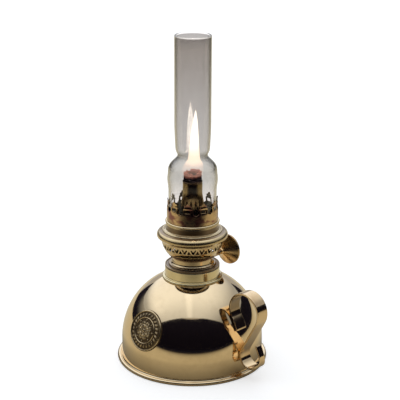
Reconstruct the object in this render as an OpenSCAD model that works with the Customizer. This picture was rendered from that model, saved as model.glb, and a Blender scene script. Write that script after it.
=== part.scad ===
// Kerosene night lamp with a round-wick burner: a spun brass tank with a carrying strap,
// a screw-in burner with a wick winder, a lift-off gallery and a pinched glass chimney.
// Millimetres. The origin is on the tank's axis, in the plane that the lamp stands on.
// +Z is up, -Y is the side with the badge, +X the handle, and the winder's knob points to +Y.

/* [Tank] */
// Outer diameter of the tank's wall and of its dome
tank_d = 102.6; // [96:0.2:112]
// Thickness of the tank's sheet
tank_wall = 0.8; // [0.6:0.1:1.2]
// Height of the straight wall, where the dome begins
wall_h = 15; // [10:0.5:24]
// Distance from the wall's face out to the middle of the foot bead
foot_bead_out = 1.9; // [1.6:0.1:2.6]
// Radius of the foot bead
foot_bead_r = 1.5; // [1.4:0.1:1.8]
// Height of the bead's middle above the table, less than its radius, so that it stands flat
foot_bead_z = 1.35; // [1.2:0.05:1.38]
// Height of the base plate above the table
base_z = 3; // [2.8:0.1:4]
// Height of the base plate's turned-up rim
base_rim_h = 4; // [2:0.5:6]

/* [Collar] */
// Bore of the collar, which the burner screws into
thread_d = 36.4; // [35:0.2:37.4]
// Thickness of the collar's band
collar_wall = 1.5; // [1.4:0.05:2.3]
// Height of the band above the bead
collar_h = 6.9; // [5:0.1:10]
// Thickness of the spigot that goes through the dome
spigot_t = 0.85; // [0.6:0.05:1]
// How far the spigot reaches down into the tank
spigot_h = 2.6; // [1.5:0.1:4]
// Distance from the band's face to the middle of the bead
bead_out = 1.3; // [1.1:0.1:1.6]
// Radius of the collar's bead
collar_bead_r = 0.9; // [0.8:0.05:1.1]

/* [Badge] */
// Diameter of the badge
badge_d = 29.5; // [24:0.5:34]
// Height of the badge's middle as an angle above the dome's centre
badge_lift = 21.3; // [19:0.1:26]
// Thickness of the badge's plate
badge_t = 0.8; // [0.6:0.1:1.2]
// Height of the badge's raised work above the plate
relief_h = 0.6; // [0.3:0.1:0.8]
// Width of the badge's rim
rim_w = 1.3; // [1:0.1:1.8]
// Number of beads round the badge's inner ring
badge_beads = 28; // [16:1:32]
// Number of petals in the rosette
petals = 8; // [5:1:10]

/* [Handle] */
// Width of the strap
strap_w = 10; // [7:0.5:14]
// Thickness of the strap
strap_t = 1.5; // [1:0.1:2]
// Radius of the finger loop along the strap's middle
loop_r = 13.05; // [11:0.05:15]
// Angle above the dome's centre where the loop leaves the dome
loop_lift = 33.1; // [31:0.1:36]
// Lean of the outer leg from upright
leg_lean = 29.5; // [27:0.5:32]
// Radius of the curl at the foot of the outer leg
foot_bend_r = 8; // [5:0.5:10]
// Lean of the curl's tail from upright
tail_lean = 25; // [20:1:28]
// Length of the tail's straight end
tail_run = 7; // [5:0.5:8]
// Width of the tail
tail_w = 5.2; // [4.5:0.1:6]
// Angle above the dome's centre where the inner leg ends
inner_end = 22; // [20:0.5:24]

/* [Burner body] */
// Thickness of the seal between collar and burner
seal_t = 0.5; // [0.4:0.1:1.5]
// Length of the burner's threaded skirt
skirt_h = 7; // [5:0.5:7]
// Wall of the threaded skirt
skirt_t = 0.9; // [0.7:0.1:1.2]
// Height of the flange's lip
lip_h = 1.1; // [1:0.1:1.5]
// Thickness of the flange
flange_t = 0.5; // [0.4:0.1:0.8]
// Outer diameter of the step inside the lip
step_d = 34; // [33:0.2:35]
// Height of the step above the flange's underside
step_h = 1.8; // [1.4:0.1:2.4]
// Diameter of the neck
neck_d = 28.6; // [28:0.2:30]
// Wall of the neck
neck_t = 0.6; // [0.5:0.1:0.9]
// Height of the neck's top above the flange's underside
neck_h = 7; // [6.4:0.2:8]
// Height of the basket
basket_h = 13.4; // [12.8:0.2:14.4]
// Outer diameter of the basket's rim
basket_d = 44.6; // [44:0.2:45]
// Radius of the bead at the basket's foot
basket_bead_r = 0.7; // [0.5:0.1:0.8]
// Thickness of the basket's sheet
basket_t = 0.6; // [0.5:0.1:0.8]
// Number of pierced triangles, each with a forked hole beside it
pierced = 22; // [16:1:24]
// Height of the pierced holes
pierced_h = 4; // [3:0.1:4.4]
// Distance from the basket's rim down to the top of the holes
pierced_drop = 1.7; // [1.4:0.1:2.2]
// Width of the brass between two holes, at their foot
pierced_rib = 0.85; // [0.6:0.05:1.2]
// Turn of the pierced pattern about the axis
pierced_turn = -35.8; // [-180:0.1:180]

/* [Wick and its tubes] */
// Outer diameter of the outer tube at its top
tube_top_d = 14; // [13.8:0.1:14.6]
// Outer diameter of the outer tube at its foot
tube_foot_d = 17.6; // [17.2:0.1:17.8]
// Wall of the outer tube
tube_wall = 0.35; // [0.3:0.05:0.4]
// Height of the outer tube's top above the basket's rim
tube_rise = 43; // [40:0.5:46]
// Distance from the outer tube's top down to the start of its flare
flare_top = 8; // [6:0.5:10]
// Height of the flare
flare_h = 14; // [10:0.5:18]
// Thickness of the wick
wick_t = 1.5; // [1.2:0.1:1.7]
// Height of the wick above the tube's top
wick_proud = 6; // [4:0.5:6]
// Height of the wick's lower end above the table
wick_end_z = 16; // [15.5:0.5:20]
// Width of the open side of the wick below the air port, as an angle
wick_gap = 110; // [108:1:120]
// Wall of the draught tube
draught_wall = 0.4; // [0.3:0.05:0.5]
// How far the draught tube's top lies below the outer tube's top
draught_drop = 0.5; // [0:0.1:1]
// Width of the air port
port_w = 6.4; // [5:0.1:6.6]
// Height of the air port
port_h = 11; // [8:0.5:11]
// Height of the air port's floor above the neck's top
port_z = 6.5; // [5.5:0.1:7]
// Gap that the wick slides in
wick_clear = 0.25; // [0.2:0.01:0.3]

/* [Winder] */
// Distance of the shaft from the lamp's axis
shaft_x = 9.4; // [9.2:0.1:9.6]
// Diameter of the shaft
shaft_d = 2; // [1.6:0.1:2.2]
// Height of the shaft above the neck's top
shaft_z = 0; // [-0.4:0.1:0.4]
// Distance between the two spiked wheels
wheel_gap = 4; // [3.6:0.1:4.4]
// Width of a spiked wheel
wheel_w = 0.8; // [0.6:0.1:1]
// Number of spikes on a wheel
spikes = 12; // [8:1:16]
// Depth of the spikes
spike_h = 0.8; // [0.5:0.1:1]
// Diameter of the gland that the shaft runs in
gland_d = 4.4; // [3.8:0.1:4.8]
// Distance of the gland's outer end from the lamp's axis, along the shaft
gland_end = 17.1; // [16:0.1:18]
// Distance of the knob's hub from the lamp's axis, along the shaft
knob_y = 19.3; // [18.4:0.1:21]
// Diameter of the knob
knob_d = 22.2; // [18:0.2:23]
// Length of the knob's cone
knob_l = 9.2; // [7:0.2:11]
// Thickness of the knob's sheet
knob_t = 0.6; // [0.4:0.1:0.8]
// Width of the knob's edge
knob_edge = 1.4; // [1:0.1:2]
// Diameter of the knob's hub
hub_d = 4; // [3.4:0.1:4.6]

/* [Gallery] */
// Outer diameter of the gallery's cushion
cushion_d = 50.9; // [50:0.1:52]
// Radius of the cushion's round top
cushion_r = 3.05; // [2.8:0.05:3.3]
// Thickness of the gallery's sheet
gallery_t = 0.6; // [0.5:0.1:0.7]
// Diameter of the gallery's neck
gallery_neck_d = 38; // [37.6:0.1:38.4]
// Height of the gallery's neck
gallery_neck_h = 5; // [4:0.2:7]
// Radius of the small bead under the neck
small_bead_r = 0.7; // [0.5:0.05:0.8]
// Outer diameter of the crown's band
crown_d = 36.4; // [36.2:0.1:36.8]
// Thickness of the crown's sheet
crown_t = 0.5; // [0.4:0.05:0.55]
// Radius of the bead at the crown's foot
crown_bead_r = 0.8; // [0.6:0.05:0.9]
// Height of the crown's solid band above its foot
band_h = 9.6; // [8:0.2:12]
// Height of the prongs above the band
prong_h = 8.6; // [7.6:0.2:10]
// Number of prongs
prongs = 10; // [8:1:11]
// Width of a prong
prong_w = 6.4; // [5.6:0.1:7]
// Width of the window in a prong
window_w = 4.3; // [3:0.1:4.6]
// Height of the window in a prong
window_h = 2.7; // [2:0.1:3]
// Turn of the crown about the axis
crown_turn = -56; // [-180:0.5:180]
// Thickness of the ledge that the glass stands on
ledge_t = 0.8; // [0.6:0.1:1.2]
// Height of the ledge above the crown's foot
ledge_z = 2.2; // [2:0.1:3.5]
// Thickness of the perforated deck
deck_t = 0.5; // [0.4:0.1:0.8]
// Number of holes in each ring of the deck
deck_holes = 24; // [12:1:28]
// Diameter of the deck's holes
deck_hole_d = 1.6; // [1:0.1:1.8]

/* [Chimney] */
// Outer diameter of the glass at its foot
glass_foot_d = 34.2; // [33.8:0.05:34.25]
// Thickness of the glass
glass_t = 1.3; // [1:0.1:1.6]
// Outer diameter of the bulge
bulge_d = 35.8; // [34.6:0.1:37]
// Outer diameter at the waist
waist_d = 20.6; // [20:0.1:22]
// Outer diameter of the tube at its top
glass_top_d = 25.8; // [24:0.1:28]
// Height of the glass
glass_h = 131; // [120:1:150]
// Height of the bulge above the glass's foot
bulge_z = 29; // [27:0.5:31]
// Height of the shoulder's start above the glass's foot
shoulder_z = 35; // [34:0.5:37]
// Height of the waist above the glass's foot
waist_z = 46.7; // [45:0.1:50]

/* [Hidden] */
$fn = 96;

// Clearances: a soldered joint, a running fit, two parts that only rest on each other
solder = 0.02;
run_fit = 0.05;
rest_gap = 0.03;
// A cut passes this far through what it cuts
through = 1;

brass = [0.80, 0.66, 0.40];
burner_brass = [0.74, 0.60, 0.36];
old_brass = [0.45, 0.36, 0.22];

// Points along an arc, as [radius, height] or any other pair
function arc(c, r, a0, a1, n = 12) =
    [for (i = [0:n]) let (a = a0 + (a1 - a0) * i / n) [c[0] + r * cos(a), c[1] + r * sin(a)]];
function smooth(s) = s * s * (3 - 2 * s);

// Tank
tank_r = tank_d / 2;
dome_c = [0, wall_h];
foot_r = tank_r + foot_bead_out;
function dome_z(r) = wall_h + sqrt(tank_r * tank_r - r * r);

// Collar, seated on the dome
bore_r = thread_d / 2;
collar_r = bore_r + collar_wall;
spigot_r = bore_r + spigot_t;
mouth_r = spigot_r + solder;
bead_ring_r = collar_r + bead_out;
bead_z = dome_z(bead_ring_r) + collar_bead_r * 2 / 3;
band_z = bead_z + collar_bead_r * 0.9;
collar_top = band_z + collar_h;
spigot_z = dome_z(mouth_r) - spigot_h;

// Handle, a strap that lies on the dome, loops round, touches the wall and curls up
strap_r = tank_r + solder + strap_t / 2;
loop_c = [(strap_r + loop_r) * cos(loop_lift), wall_h + (strap_r + loop_r) * sin(loop_lift)];
leg_top = [loop_c[0] + loop_r * cos(leg_lean), loop_c[1] - loop_r * sin(leg_lean)];
bend_x = strap_r + foot_bend_r;
leg_run = (leg_top[0] - (bend_x - foot_bend_r * cos(leg_lean))) / sin(leg_lean);
bend_c = [bend_x, leg_top[1] - leg_run * cos(leg_lean) - foot_bend_r * sin(leg_lean)];
// The tail leaves the curl past its outermost point, and leans back towards the leg
tail_z = bend_c[1] + foot_bend_r * sin(tail_lean) + tail_run * cos(tail_lean);

// Burner, stacked on the collar
flange_z = collar_top + seal_t;
skirt_r = bore_r - run_fit;
step_r = step_d / 2;
neck_r = neck_d / 2;
neck_top = flange_z + neck_h;
basket_top = neck_top + basket_h;
basket_r = basket_d / 2;
basket_foot_r = neck_r + 1.1;
// The bowl is an arc from the basket's foot to its rim, round a centre near the axis
bowl_rise = basket_h;
bowl_drop = 1.43;
bowl_cx = (basket_r * basket_r - basket_foot_r * basket_foot_r
    + bowl_drop * bowl_drop - pow(bowl_rise + bowl_drop, 2)) / (2 * (basket_r - basket_foot_r));
bowl_c = [bowl_cx, basket_top + bowl_drop];
bowl_r = sqrt(pow(basket_r - bowl_cx, 2) + bowl_drop * bowl_drop);
bowl_a1 = asin(-bowl_drop / bowl_r);
pierced_top = basket_top - pierced_drop;

// Wick tubes, inside each other, with the wick between them
tube_top = basket_top + tube_rise;
tube_z0 = flange_z - 0.4;
tube_foot_r = tube_foot_d / 2;
tube_top_r = tube_top_d / 2;
wick_r = tube_top_r - tube_wall - wick_clear;
wick_in = wick_r - wick_t;
draught_r = wick_in - wick_clear - 0.05;
draught_in = draught_r - draught_wall;
draught_top = tube_top - draught_drop;
port_z0 = neck_top + port_z;
port_z1 = port_z0 + port_h;
draught_z0 = port_z0 - 2;
wick_top = tube_top + wick_proud;
wick_up = 4;
wick_down = 8;
// The wick's open side ends above the port, with the wick wound right down
gap_top = port_z1 + wick_down + 1;

// Winder
axle_z = neck_top + shaft_z;
shaft_r = shaft_d / 2;
axle_bore = shaft_r + run_fit;
gland_r = gland_d / 2;
wheel_y = wheel_gap / 2;
spike_r = shaft_x - sqrt(wick_r * wick_r - pow(wheel_y - wheel_w / 2, 2)) - 0.1;
knob_r = knob_d / 2;
hub_r = hub_d / 2;
knob_y1 = knob_y + knob_l;
shaft_y0 = -7.6;
shaft_y1 = knob_y1 - 0.6;
bearing_y0 = -7;
bearing_y1 = -5;

// Gallery, standing on the basket's rim
shelf_z = basket_top + rest_gap;
cushion_c = [cushion_d / 2 - cushion_r, basket_top + 2.9];
lip_r = basket_r + 0.3;
lip_z = basket_top - 0.3;
gallery_neck_r = gallery_neck_d / 2;
gallery_neck_z = cushion_c[1] + cushion_r + 2 * small_bead_r;
crown_z = gallery_neck_z + gallery_neck_h;
small_bead_c = [gallery_neck_r + 2, cushion_c[1] + cushion_r + small_bead_r * 0.9];
crown_r = crown_d / 2;
crown_in = crown_r - crown_t;
band_top = crown_z + band_h;
prong_top = band_top + prong_h;
ledge_top = crown_z + ledge_z + ledge_t;
glass_z = ledge_top + rest_gap;

// Chimney
glass_foot_r = glass_foot_d / 2;
bulge_r = bulge_d / 2;
waist_r = waist_d / 2;
glass_top_r = glass_top_d / 2;
// Where the prongs grip the glass, their inner face is a running fit from it
grip_r = glass_foot_r + run_fit * 2 + crown_t;
grip_z = band_top + prong_h * 0.63;

// The tank's dome and wall are spun from one sheet, with a rolled bead to stand on.
module tank_shell() {
    bead_a = asin(foot_bead_z / foot_bead_r);
    bead_c = [foot_r, foot_bead_z];
    inner = tank_r - tank_wall;
    top_a = acos(mouth_r / tank_r);
    top_in = acos(mouth_r / inner);
    wall_foot = foot_bead_z + foot_bead_r * 1.2;
    color(brass)
        rotate_extrude()
            polygon(concat(
                arc(dome_c, tank_r, top_a, 0, 40),
                [[tank_r, wall_foot]],
                arc(bead_c, foot_bead_r, 140, -bead_a, 24),
                [[foot_r - foot_bead_r * cos(bead_a), 0],
                    [inner + 0.4, foot_bead_z * 0.6], [inner, foot_bead_z]],
                arc(dome_c, inner, 0, top_in, 40)));
}

// A pressed plate closes the tank below, soldered inside the wall.
module tank_base() {
    r = tank_r - tank_wall - solder;
    color(brass)
        rotate_extrude()
            polygon([[0, base_z], [r, base_z], [r, base_z + base_rim_h],
                [r - tank_wall, base_z + base_rim_h],
                [r - tank_wall, base_z + tank_wall], [0, base_z + tank_wall]]);
}

// The collar stands on the dome, with a bead at its foot and a spigot through the dome.
module filler_collar() {
    under_a = -60;
    over_a = 110;
    color(brass)
        rotate_extrude()
            polygon(concat(
                [[bore_r, spigot_z], [spigot_r, spigot_z],
                    [spigot_r, dome_z(spigot_r) + solder]],
                arc([bead_ring_r, bead_z + solder * 2], collar_bead_r, under_a, over_a, 10),
                [[collar_r, band_z], [collar_r, collar_top], [bore_r, collar_top]]));
}

// One thin layer of the badge, between two spheres about the dome's centre
module badge_layer(height, from = solder) {
    intersection() {
        difference() {
            sphere(r = tank_r + height);
            sphere(r = tank_r + from);
        }
        translate([0, 0, tank_r / 2])
            linear_extrude(height = tank_r)
                children();
    }
}

// The badge is a disc that follows the dome, with a rim, a ring of beads and a rosette.
module badge_plate() {
    top = badge_t + relief_h;
    outer = badge_d / 2;
    inner = outer * 0.64;
    bead_ring = (outer - rim_w + inner) / 2;
    petal_len = inner * 0.62;
    color(old_brass)
        translate([0, 0, wall_h])
            rotate([90 - badge_lift, 0, 0]) {
                badge_layer(badge_t)
                    circle(r = outer);
                badge_layer(top, badge_t - 0.1) {
                    difference() {
                        circle(r = outer);
                        circle(r = outer - rim_w);
                    }
                    difference() {
                        circle(r = inner);
                        circle(r = inner - rim_w / 2);
                    }
                    for (i = [0:badge_beads - 1])
                        rotate(i * 360 / badge_beads)
                            translate([bead_ring, 0])
                                circle(r = 0.75, $fn = 16);
                    for (i = [0:petals - 1])
                        rotate(i * 360 / petals)
                            translate([petal_len * 0.78, 0])
                                circle(r = 1.5, $fn = 24);
                    circle(r = petal_len * 0.42);
                }
            }
}

// One edge of the strap, a given distance to the right of its middle line
function strap_edge(o) = concat(
    arc(dome_c, strap_r + o, inner_end, loop_lift, 6),
    arc(loop_c, loop_r - o, 180 + loop_lift, -leg_lean, 40),
    arc(bend_c, foot_bend_r + o, 180 - leg_lean, 360 + tail_lean, 36),
    [bend_c + (foot_bend_r + o) * [cos(tail_lean), sin(tail_lean)]
        + tail_run * [-sin(tail_lean), cos(tail_lean)]]);
function reversed(list) = [for (i = [len(list) - 1:-1:0]) list[i]];

// The handle is one flat strap, bent into a drop-shaped loop and soldered to the dome and
// the wall. Its lower end curls up, and narrows into a small tail.
module handle_strap() {
    narrow_z = bend_c[1] - foot_bend_r + strap_t / 2;
    clear_y = strap_w / 2 + through;
    clear_z = tail_z + through;
    color(brass)
        difference() {
            rotate([90, 0, 0])
                linear_extrude(height = strap_w, center = true)
                    polygon(concat(strap_edge(strap_t / 2), reversed(strap_edge(-strap_t / 2))));
            for (side = [-1, 1])
                translate([bend_c[0], 0, 0])
                    rotate([90, 0, 90])
                        linear_extrude(height = foot_bend_r + strap_t)
                            polygon([[side * strap_w / 2, narrow_z], [side * tail_w / 2, bend_c[1]],
                                [side * tail_w / 2, clear_z], [side * clear_y, clear_z],
                                [side * clear_y, narrow_z]]);
        }
}

// A flat seal between the collar's top and the burner's flange
module seal_washer() {
    color([0.12, 0.11, 0.10])
        translate([0, 0, collar_top + rest_gap / 2])
            difference() {
                cylinder(h = seal_t - rest_gap, r = collar_r - 0.3);
                translate([0, 0, -through])
                    cylinder(h = seal_t + 2 * through, r = bore_r + 0.3);
            }
}

// The bore in the neck and the basket that the winder's gland is soldered into
module gland_bore() {
    translate([shaft_x, 0, axle_z])
        rotate([-90, 0, 0])
            cylinder(h = gland_end + through, r = gland_r + solder);
}

// The burner's screw ring: a threaded skirt, a dished flange and the neck under the basket
module burner_ring() {
    color(burner_brass)
        difference() {
            rotate_extrude()
                polygon([[skirt_r - skirt_t, flange_z - skirt_h], [skirt_r, flange_z - skirt_h],
                    [skirt_r, flange_z], [collar_r, flange_z], [collar_r, flange_z + lip_h],
                    [collar_r - 0.6, flange_z + lip_h], [collar_r - 0.7, flange_z + flange_t],
                    [step_r + 0.1, flange_z + flange_t], [step_r - 0.2, flange_z + step_h],
                    [neck_r + 1.1, flange_z + step_h], [neck_r + 0.3, flange_z + step_h + 0.5],
                    [neck_r, flange_z + step_h + 1.3], [neck_r, neck_top],
                    [neck_r - neck_t, neck_top], [neck_r - neck_t, flange_z],
                    [skirt_r - skirt_t, flange_z]]);
            gland_bore();
        }
}

// A floor across the neck keeps the fuel's vapour out of the air chamber.
module burner_floor() {
    color(burner_brass)
        translate([0, 0, flange_z])
            difference() {
                cylinder(h = flange_t + 0.3, r = neck_r - neck_t - solder);
                translate([0, 0, -through])
                    cylinder(h = 2 * through + flange_t, r = tube_foot_r + solder);
            }
}

// A hole cut straight out through the basket's wall, drawn as width by height
module pierce(angle) {
    rotate([0, 0, angle])
        translate([neck_r, 0, 0])
            rotate([90, 0, 90])
                linear_extrude(height = basket_r)
                    children();
}

// The basket lets the air in through a band of triangles and forked holes.
module air_basket() {
    pitch = 360 / pierced;
    z0 = pierced_top - pierced_h;
    hole_r = bowl_c[0] + sqrt(bowl_r * bowl_r - pow(z0 - bowl_c[1], 2));
    room = hole_r * sin(pitch / 2) - pierced_rib;
    base = room * 0.7;
    stem = room - base;
    foot_z = neck_top + solder;
    bead_c = [basket_foot_r - basket_bead_r, foot_z + basket_bead_r];
    bowl_z = foot_z + 2 * basket_bead_r;
    bowl_in = bowl_r - basket_t;
    color(burner_brass)
        difference() {
            rotate_extrude()
                polygon(concat(
                    [[neck_r - neck_t, foot_z]],
                    arc(bead_c, basket_bead_r, -90, 40, 8),
                    arc(bowl_c, bowl_r, asin((bowl_z - bowl_c[1]) / bowl_r), bowl_a1, 14),
                    arc(bowl_c, bowl_in, asin(-bowl_drop / bowl_in),
                        asin((bowl_z + basket_t - bowl_c[1]) / bowl_in), 14),
                    [[neck_r - neck_t, bowl_z]]));
            for (i = [0:pierced - 1]) {
                pierce(pierced_turn + i * pitch)
                    polygon([[-base, z0], [base, z0], [0, z0 + pierced_h * 0.8]]);
                pierce(pierced_turn + (i + 0.5) * pitch)
                    polygon([[-stem, z0], [stem, z0], [room, z0 + pierced_h * 0.85],
                        [room * 0.6, z0 + pierced_h], [0, z0 + pierced_h * 0.5],
                        [-room * 0.6, z0 + pierced_h], [-room, z0 + pierced_h * 0.85]]);
            }
            gland_bore();
        }
}

// The outer wick tube flares below, and is open to the spiked wheels and to the air port.
module wick_tube_outer() {
    z1 = tube_top - flare_top;
    z0 = z1 - flare_h;
    color(burner_brass)
        difference() {
            rotate_extrude()
                polygon([[tube_foot_r - tube_wall, tube_z0], [tube_foot_r, tube_z0],
                    [tube_foot_r, z0], [tube_top_r, z1], [tube_top_r, tube_top],
                    [tube_top_r - tube_wall, tube_top], [tube_top_r - tube_wall, z1],
                    [tube_foot_r - tube_wall, z0]]);
            translate([shaft_x, 0, axle_z])
                cube([2 * (shaft_x - wick_r), wheel_gap + 3, 2 * spike_r + 1.6], center = true);
            translate([-tube_foot_r - through, -port_w / 2 - solder, port_z0 - solder])
                cube([tube_foot_r, port_w + 2 * solder, port_h + 2 * solder]);
        }
}

// The draught tube brings air to the inside of the flame; its foot is closed.
module draught_tube() {
    color(burner_brass)
        difference() {
            translate([0, 0, draught_z0])
                cylinder(h = draught_top - draught_z0, r = draught_r);
            translate([0, 0, draught_z0 + draught_wall])
                cylinder(h = draught_top - draught_z0, r = draught_in);
            translate([-2 * draught_r, -port_w / 2 - solder, port_z0 - solder])
                cube([2 * draught_r, port_w + 2 * solder, port_h + 2 * solder]);
        }
}

// The air port is a short square duct from the basket into the draught tube.
module air_port() {
    x0 = -tube_foot_r - 0.6;
    length = -x0 - sqrt(pow(draught_r, 2) - pow(port_w / 2, 2)) + 0.4;
    color(burner_brass)
        translate([x0, 0, port_z0])
            difference() {
                translate([0, -port_w / 2, 0])
                    cube([length, port_w, port_h]);
                translate([-through, -port_w / 2 + draught_wall, draught_wall])
                    cube([length + 2 * through, port_w - 2 * draught_wall,
                        port_h - 2 * draught_wall]);
            }
}

// The gland is soldered into the neck, and the winder's shaft runs in it.
module shaft_gland() {
    start = sqrt(pow(neck_r - neck_t, 2) - shaft_x * shaft_x) - 0.8;
    color(burner_brass)
        translate([shaft_x, start, axle_z])
            rotate([-90, 0, 0])
                difference() {
                    cylinder(h = gland_end - start, r = gland_r);
                    translate([0, 0, -through])
                        cylinder(h = gland_end, r = axle_bore);
                    translate([0, 0, gland_end - start - through])
                        cylinder(h = 2 * through, r = axle_bore);
                }
}

// A small upright on the floor carries the shaft's inner end.
module shaft_bearing() {
    half = 1.5;
    z0 = flange_z + flange_t + 0.3 + solder;
    color(burner_brass)
        difference() {
            translate([shaft_x - half, bearing_y0, z0])
                cube([2 * half, bearing_y1 - bearing_y0, axle_z + 2 - z0]);
            translate([shaft_x, bearing_y0 - through, axle_z])
                rotate([-90, 0, 0])
                    cylinder(h = bearing_y1 - bearing_y0 + 2 * through, r = axle_bore);
        }
}

// The winder's shaft, with the wheels and the knob fixed on it
module winder_shaft() {
    color([0.55, 0.52, 0.46])
        translate([shaft_x, shaft_y0, axle_z])
            rotate([-90, 0, 0])
                cylinder(h = shaft_y1 - shaft_y0, r = shaft_r);
}

// A spiked wheel stands against the wick and moves it up and down.
module spiked_wheel(y) {
    step = 360 / spikes;
    color([0.62, 0.55, 0.42])
        translate([shaft_x, y - wheel_w / 2, axle_z])
            rotate([-90, 0, 0])
                difference() {
                    linear_extrude(height = wheel_w)
                        polygon([for (i = [0:spikes - 1]) each [
                            [spike_r * cos(i * step), spike_r * sin(i * step)],
                            [(spike_r - spike_h) * cos((i + 0.5) * step),
                                (spike_r - spike_h) * sin((i + 0.5) * step)]]]);
                    translate([0, 0, -through])
                        cylinder(h = wheel_w + 2 * through, r = shaft_r + solder);
                }
}

// The back of the knob is a trumpet with a hub on the shaft.
module knob_cone() {
    flat = knob_l - knob_edge;
    color(brass)
        translate([shaft_x, knob_y, axle_z])
            rotate([-90, 0, 0])
                rotate_extrude()
                    polygon(concat(
                        [[shaft_r + solder, 0], [hub_r, 0]],
                        [for (i = [0:10]) let (s = i / 10)
                            [hub_r + (knob_r - hub_r) * pow(s, 1.35), 1 + (flat - 1) * s]],
                        [[knob_r, knob_l], [knob_r - knob_t, knob_l]],
                        [for (i = [10:-1:1]) let (s = i / 10)
                            [hub_r + (knob_r - hub_r) * pow(s, 1.35) - knob_t,
                                1.2 + (flat - 0.6) * s]],
                        [[shaft_r + solder, 1.4]]));
}

// The face of the knob is a shallow dished disc, crimped into the trumpet's edge.
module knob_face() {
    r = knob_r - knob_t - solder;
    color(brass)
        translate([shaft_x, knob_y1, axle_z])
            rotate([-90, 0, 0])
                difference() {
                    rotate_extrude()
                        polygon([[0, -0.2], [r * 0.3, -0.2], [r * 0.36, -0.5], [r * 0.8, -0.5],
                            [r * 0.86, 0], [r, 0], [r, -0.6], [r * 0.84, -0.6],
                            [r * 0.78, -1.1], [0, -1.1]]);
                    translate([0, 0, -2])
                        cylinder(h = 1.5, r = shaft_r + solder);
                }
}

// The wick is a flat ribbon rolled into a tube; low down its edges part round the air port.
module wick() {
    length = wick_top - wick_end_z;
    side = 2 * wick_r;
    color([0.86, 0.82, 0.74])
        translate([0, 0, wick_end_z])
            difference() {
                cylinder(h = length, r = wick_r);
                translate([0, 0, -through])
                    cylinder(h = length + 2 * through, r = wick_in);
                translate([0, 0, -through])
                    linear_extrude(height = gap_top - wick_end_z + through)
                        polygon([[0, 0], [-side, side * tan(wick_gap / 2)],
                            [-side, -side * tan(wick_gap / 2)]]);
            }
}

// The gallery's ring has a cushion edge, a shelf on the basket's rim and a neck for the crown.
module gallery_ring() {
    inner = cushion_r - gallery_t;
    under_a = -18;
    under = [lip_r + 0.3, lip_z];
    color(brass)
        rotate_extrude()
            polygon(concat(
                [[lip_r, lip_z], under],
                arc(cushion_c, cushion_r, under_a, 88, 14),
                arc(small_bead_c, small_bead_r, -10, 150, 8),
                [[gallery_neck_r, gallery_neck_z], [gallery_neck_r, crown_z],
                    [gallery_neck_r - gallery_t, crown_z],
                    [gallery_neck_r - gallery_t, cushion_c[1] + inner],
                    [cushion_c[0] - 0.5, cushion_c[1] + inner]],
                arc(cushion_c, inner, 80, under_a, 10),
                [[lip_r + 0.2, shelf_z + gallery_t], [basket_r - 1.4, shelf_z + gallery_t],
                    [basket_r - 1.4, shelf_z], [lip_r, shelf_z]]));
}

// What is cut away between two prongs: a slot with a round bottom and a pair of side nicks
module prong_gap(width) {
    deep = width / 2;
    union() {
        translate([0, band_top + deep])
            circle(r = deep);
        translate([-width / 2, band_top + deep])
            square([width, prong_h + 1]);
        polygon([[-width / 2 - 0.1, prong_top - 1.9], [-width / 2 - 2.1, prong_top - 1.5],
            [-width / 2 - 2.2, prong_top + 1], [width / 2 + 2.2, prong_top + 1],
            [width / 2 + 2.1, prong_top - 1.5], [width / 2 + 0.1, prong_top - 1.9]]);
    }
}

// The crown's prongs spring against the glass. Each has a window and a small pointed tip.
module chimney_crown() {
    pitch = 360 / prongs;
    gap = 2 * crown_r * sin(pitch / 2) - prong_w;
    tip_r = grip_r + 0.6;
    ledge_r = glass_foot_r - glass_t - 0.2;
    under_a = -60;
    over_a = 80;
    color(burner_brass)
        difference() {
            rotate_extrude()
                polygon(concat(
                    [[crown_in, crown_z + solder], [gallery_neck_r - 0.2, crown_z + solder]],
                    arc([gallery_neck_r - crown_bead_r + 0.45, crown_z + solder + crown_bead_r],
                        crown_bead_r, under_a, over_a, 8),
                    [[crown_r, crown_z + 2 * crown_bead_r + 0.2], [crown_r + 0.1, band_top],
                        [grip_r, grip_z], [tip_r, prong_top - 0.4], [tip_r - 0.1, prong_top],
                        [tip_r - crown_t, prong_top - 0.1], [grip_r - crown_t, grip_z],
                        [crown_in + 0.1, band_top], [crown_in, ledge_top],
                        [ledge_r, ledge_top], [ledge_r, ledge_top - ledge_t],
                        [crown_in, ledge_top - ledge_t]]));
            for (i = [0:prongs - 1])
                rotate([0, 0, crown_turn + (i + 0.5) * pitch])
                    rotate([90, 0, 90])
                        linear_extrude(height = crown_r + 2)
                            prong_gap(gap);
            for (i = [0:prongs - 1])
                rotate([0, 0, crown_turn + i * pitch])
                    translate([0, -window_w / 2, band_top + 1.6])
                        cube([crown_r + 2, window_w, window_h]);
        }
}

// The deck under the glass is pierced, so that the air rises evenly round the wick.
module air_deck() {
    top = ledge_top - ledge_t - solder;
    outer = crown_in - solder;
    inner = tube_foot_r + 0.6;
    color(burner_brass)
        translate([0, 0, top - deck_t])
            difference() {
                cylinder(h = deck_t, r = outer);
                translate([0, 0, -through])
                    cylinder(h = deck_t + 2 * through, r = inner);
                for (ring = [0:1], i = [0:deck_holes - 1])
                    rotate([0, 0, (i + ring / 2) * 360 / deck_holes])
                        translate([inner + (outer - inner) * (0.3 + ring * 0.36), 0, -through])
                            cylinder(h = deck_t + 2 * through, d = deck_hole_d, $fn = 16);
            }
}

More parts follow.
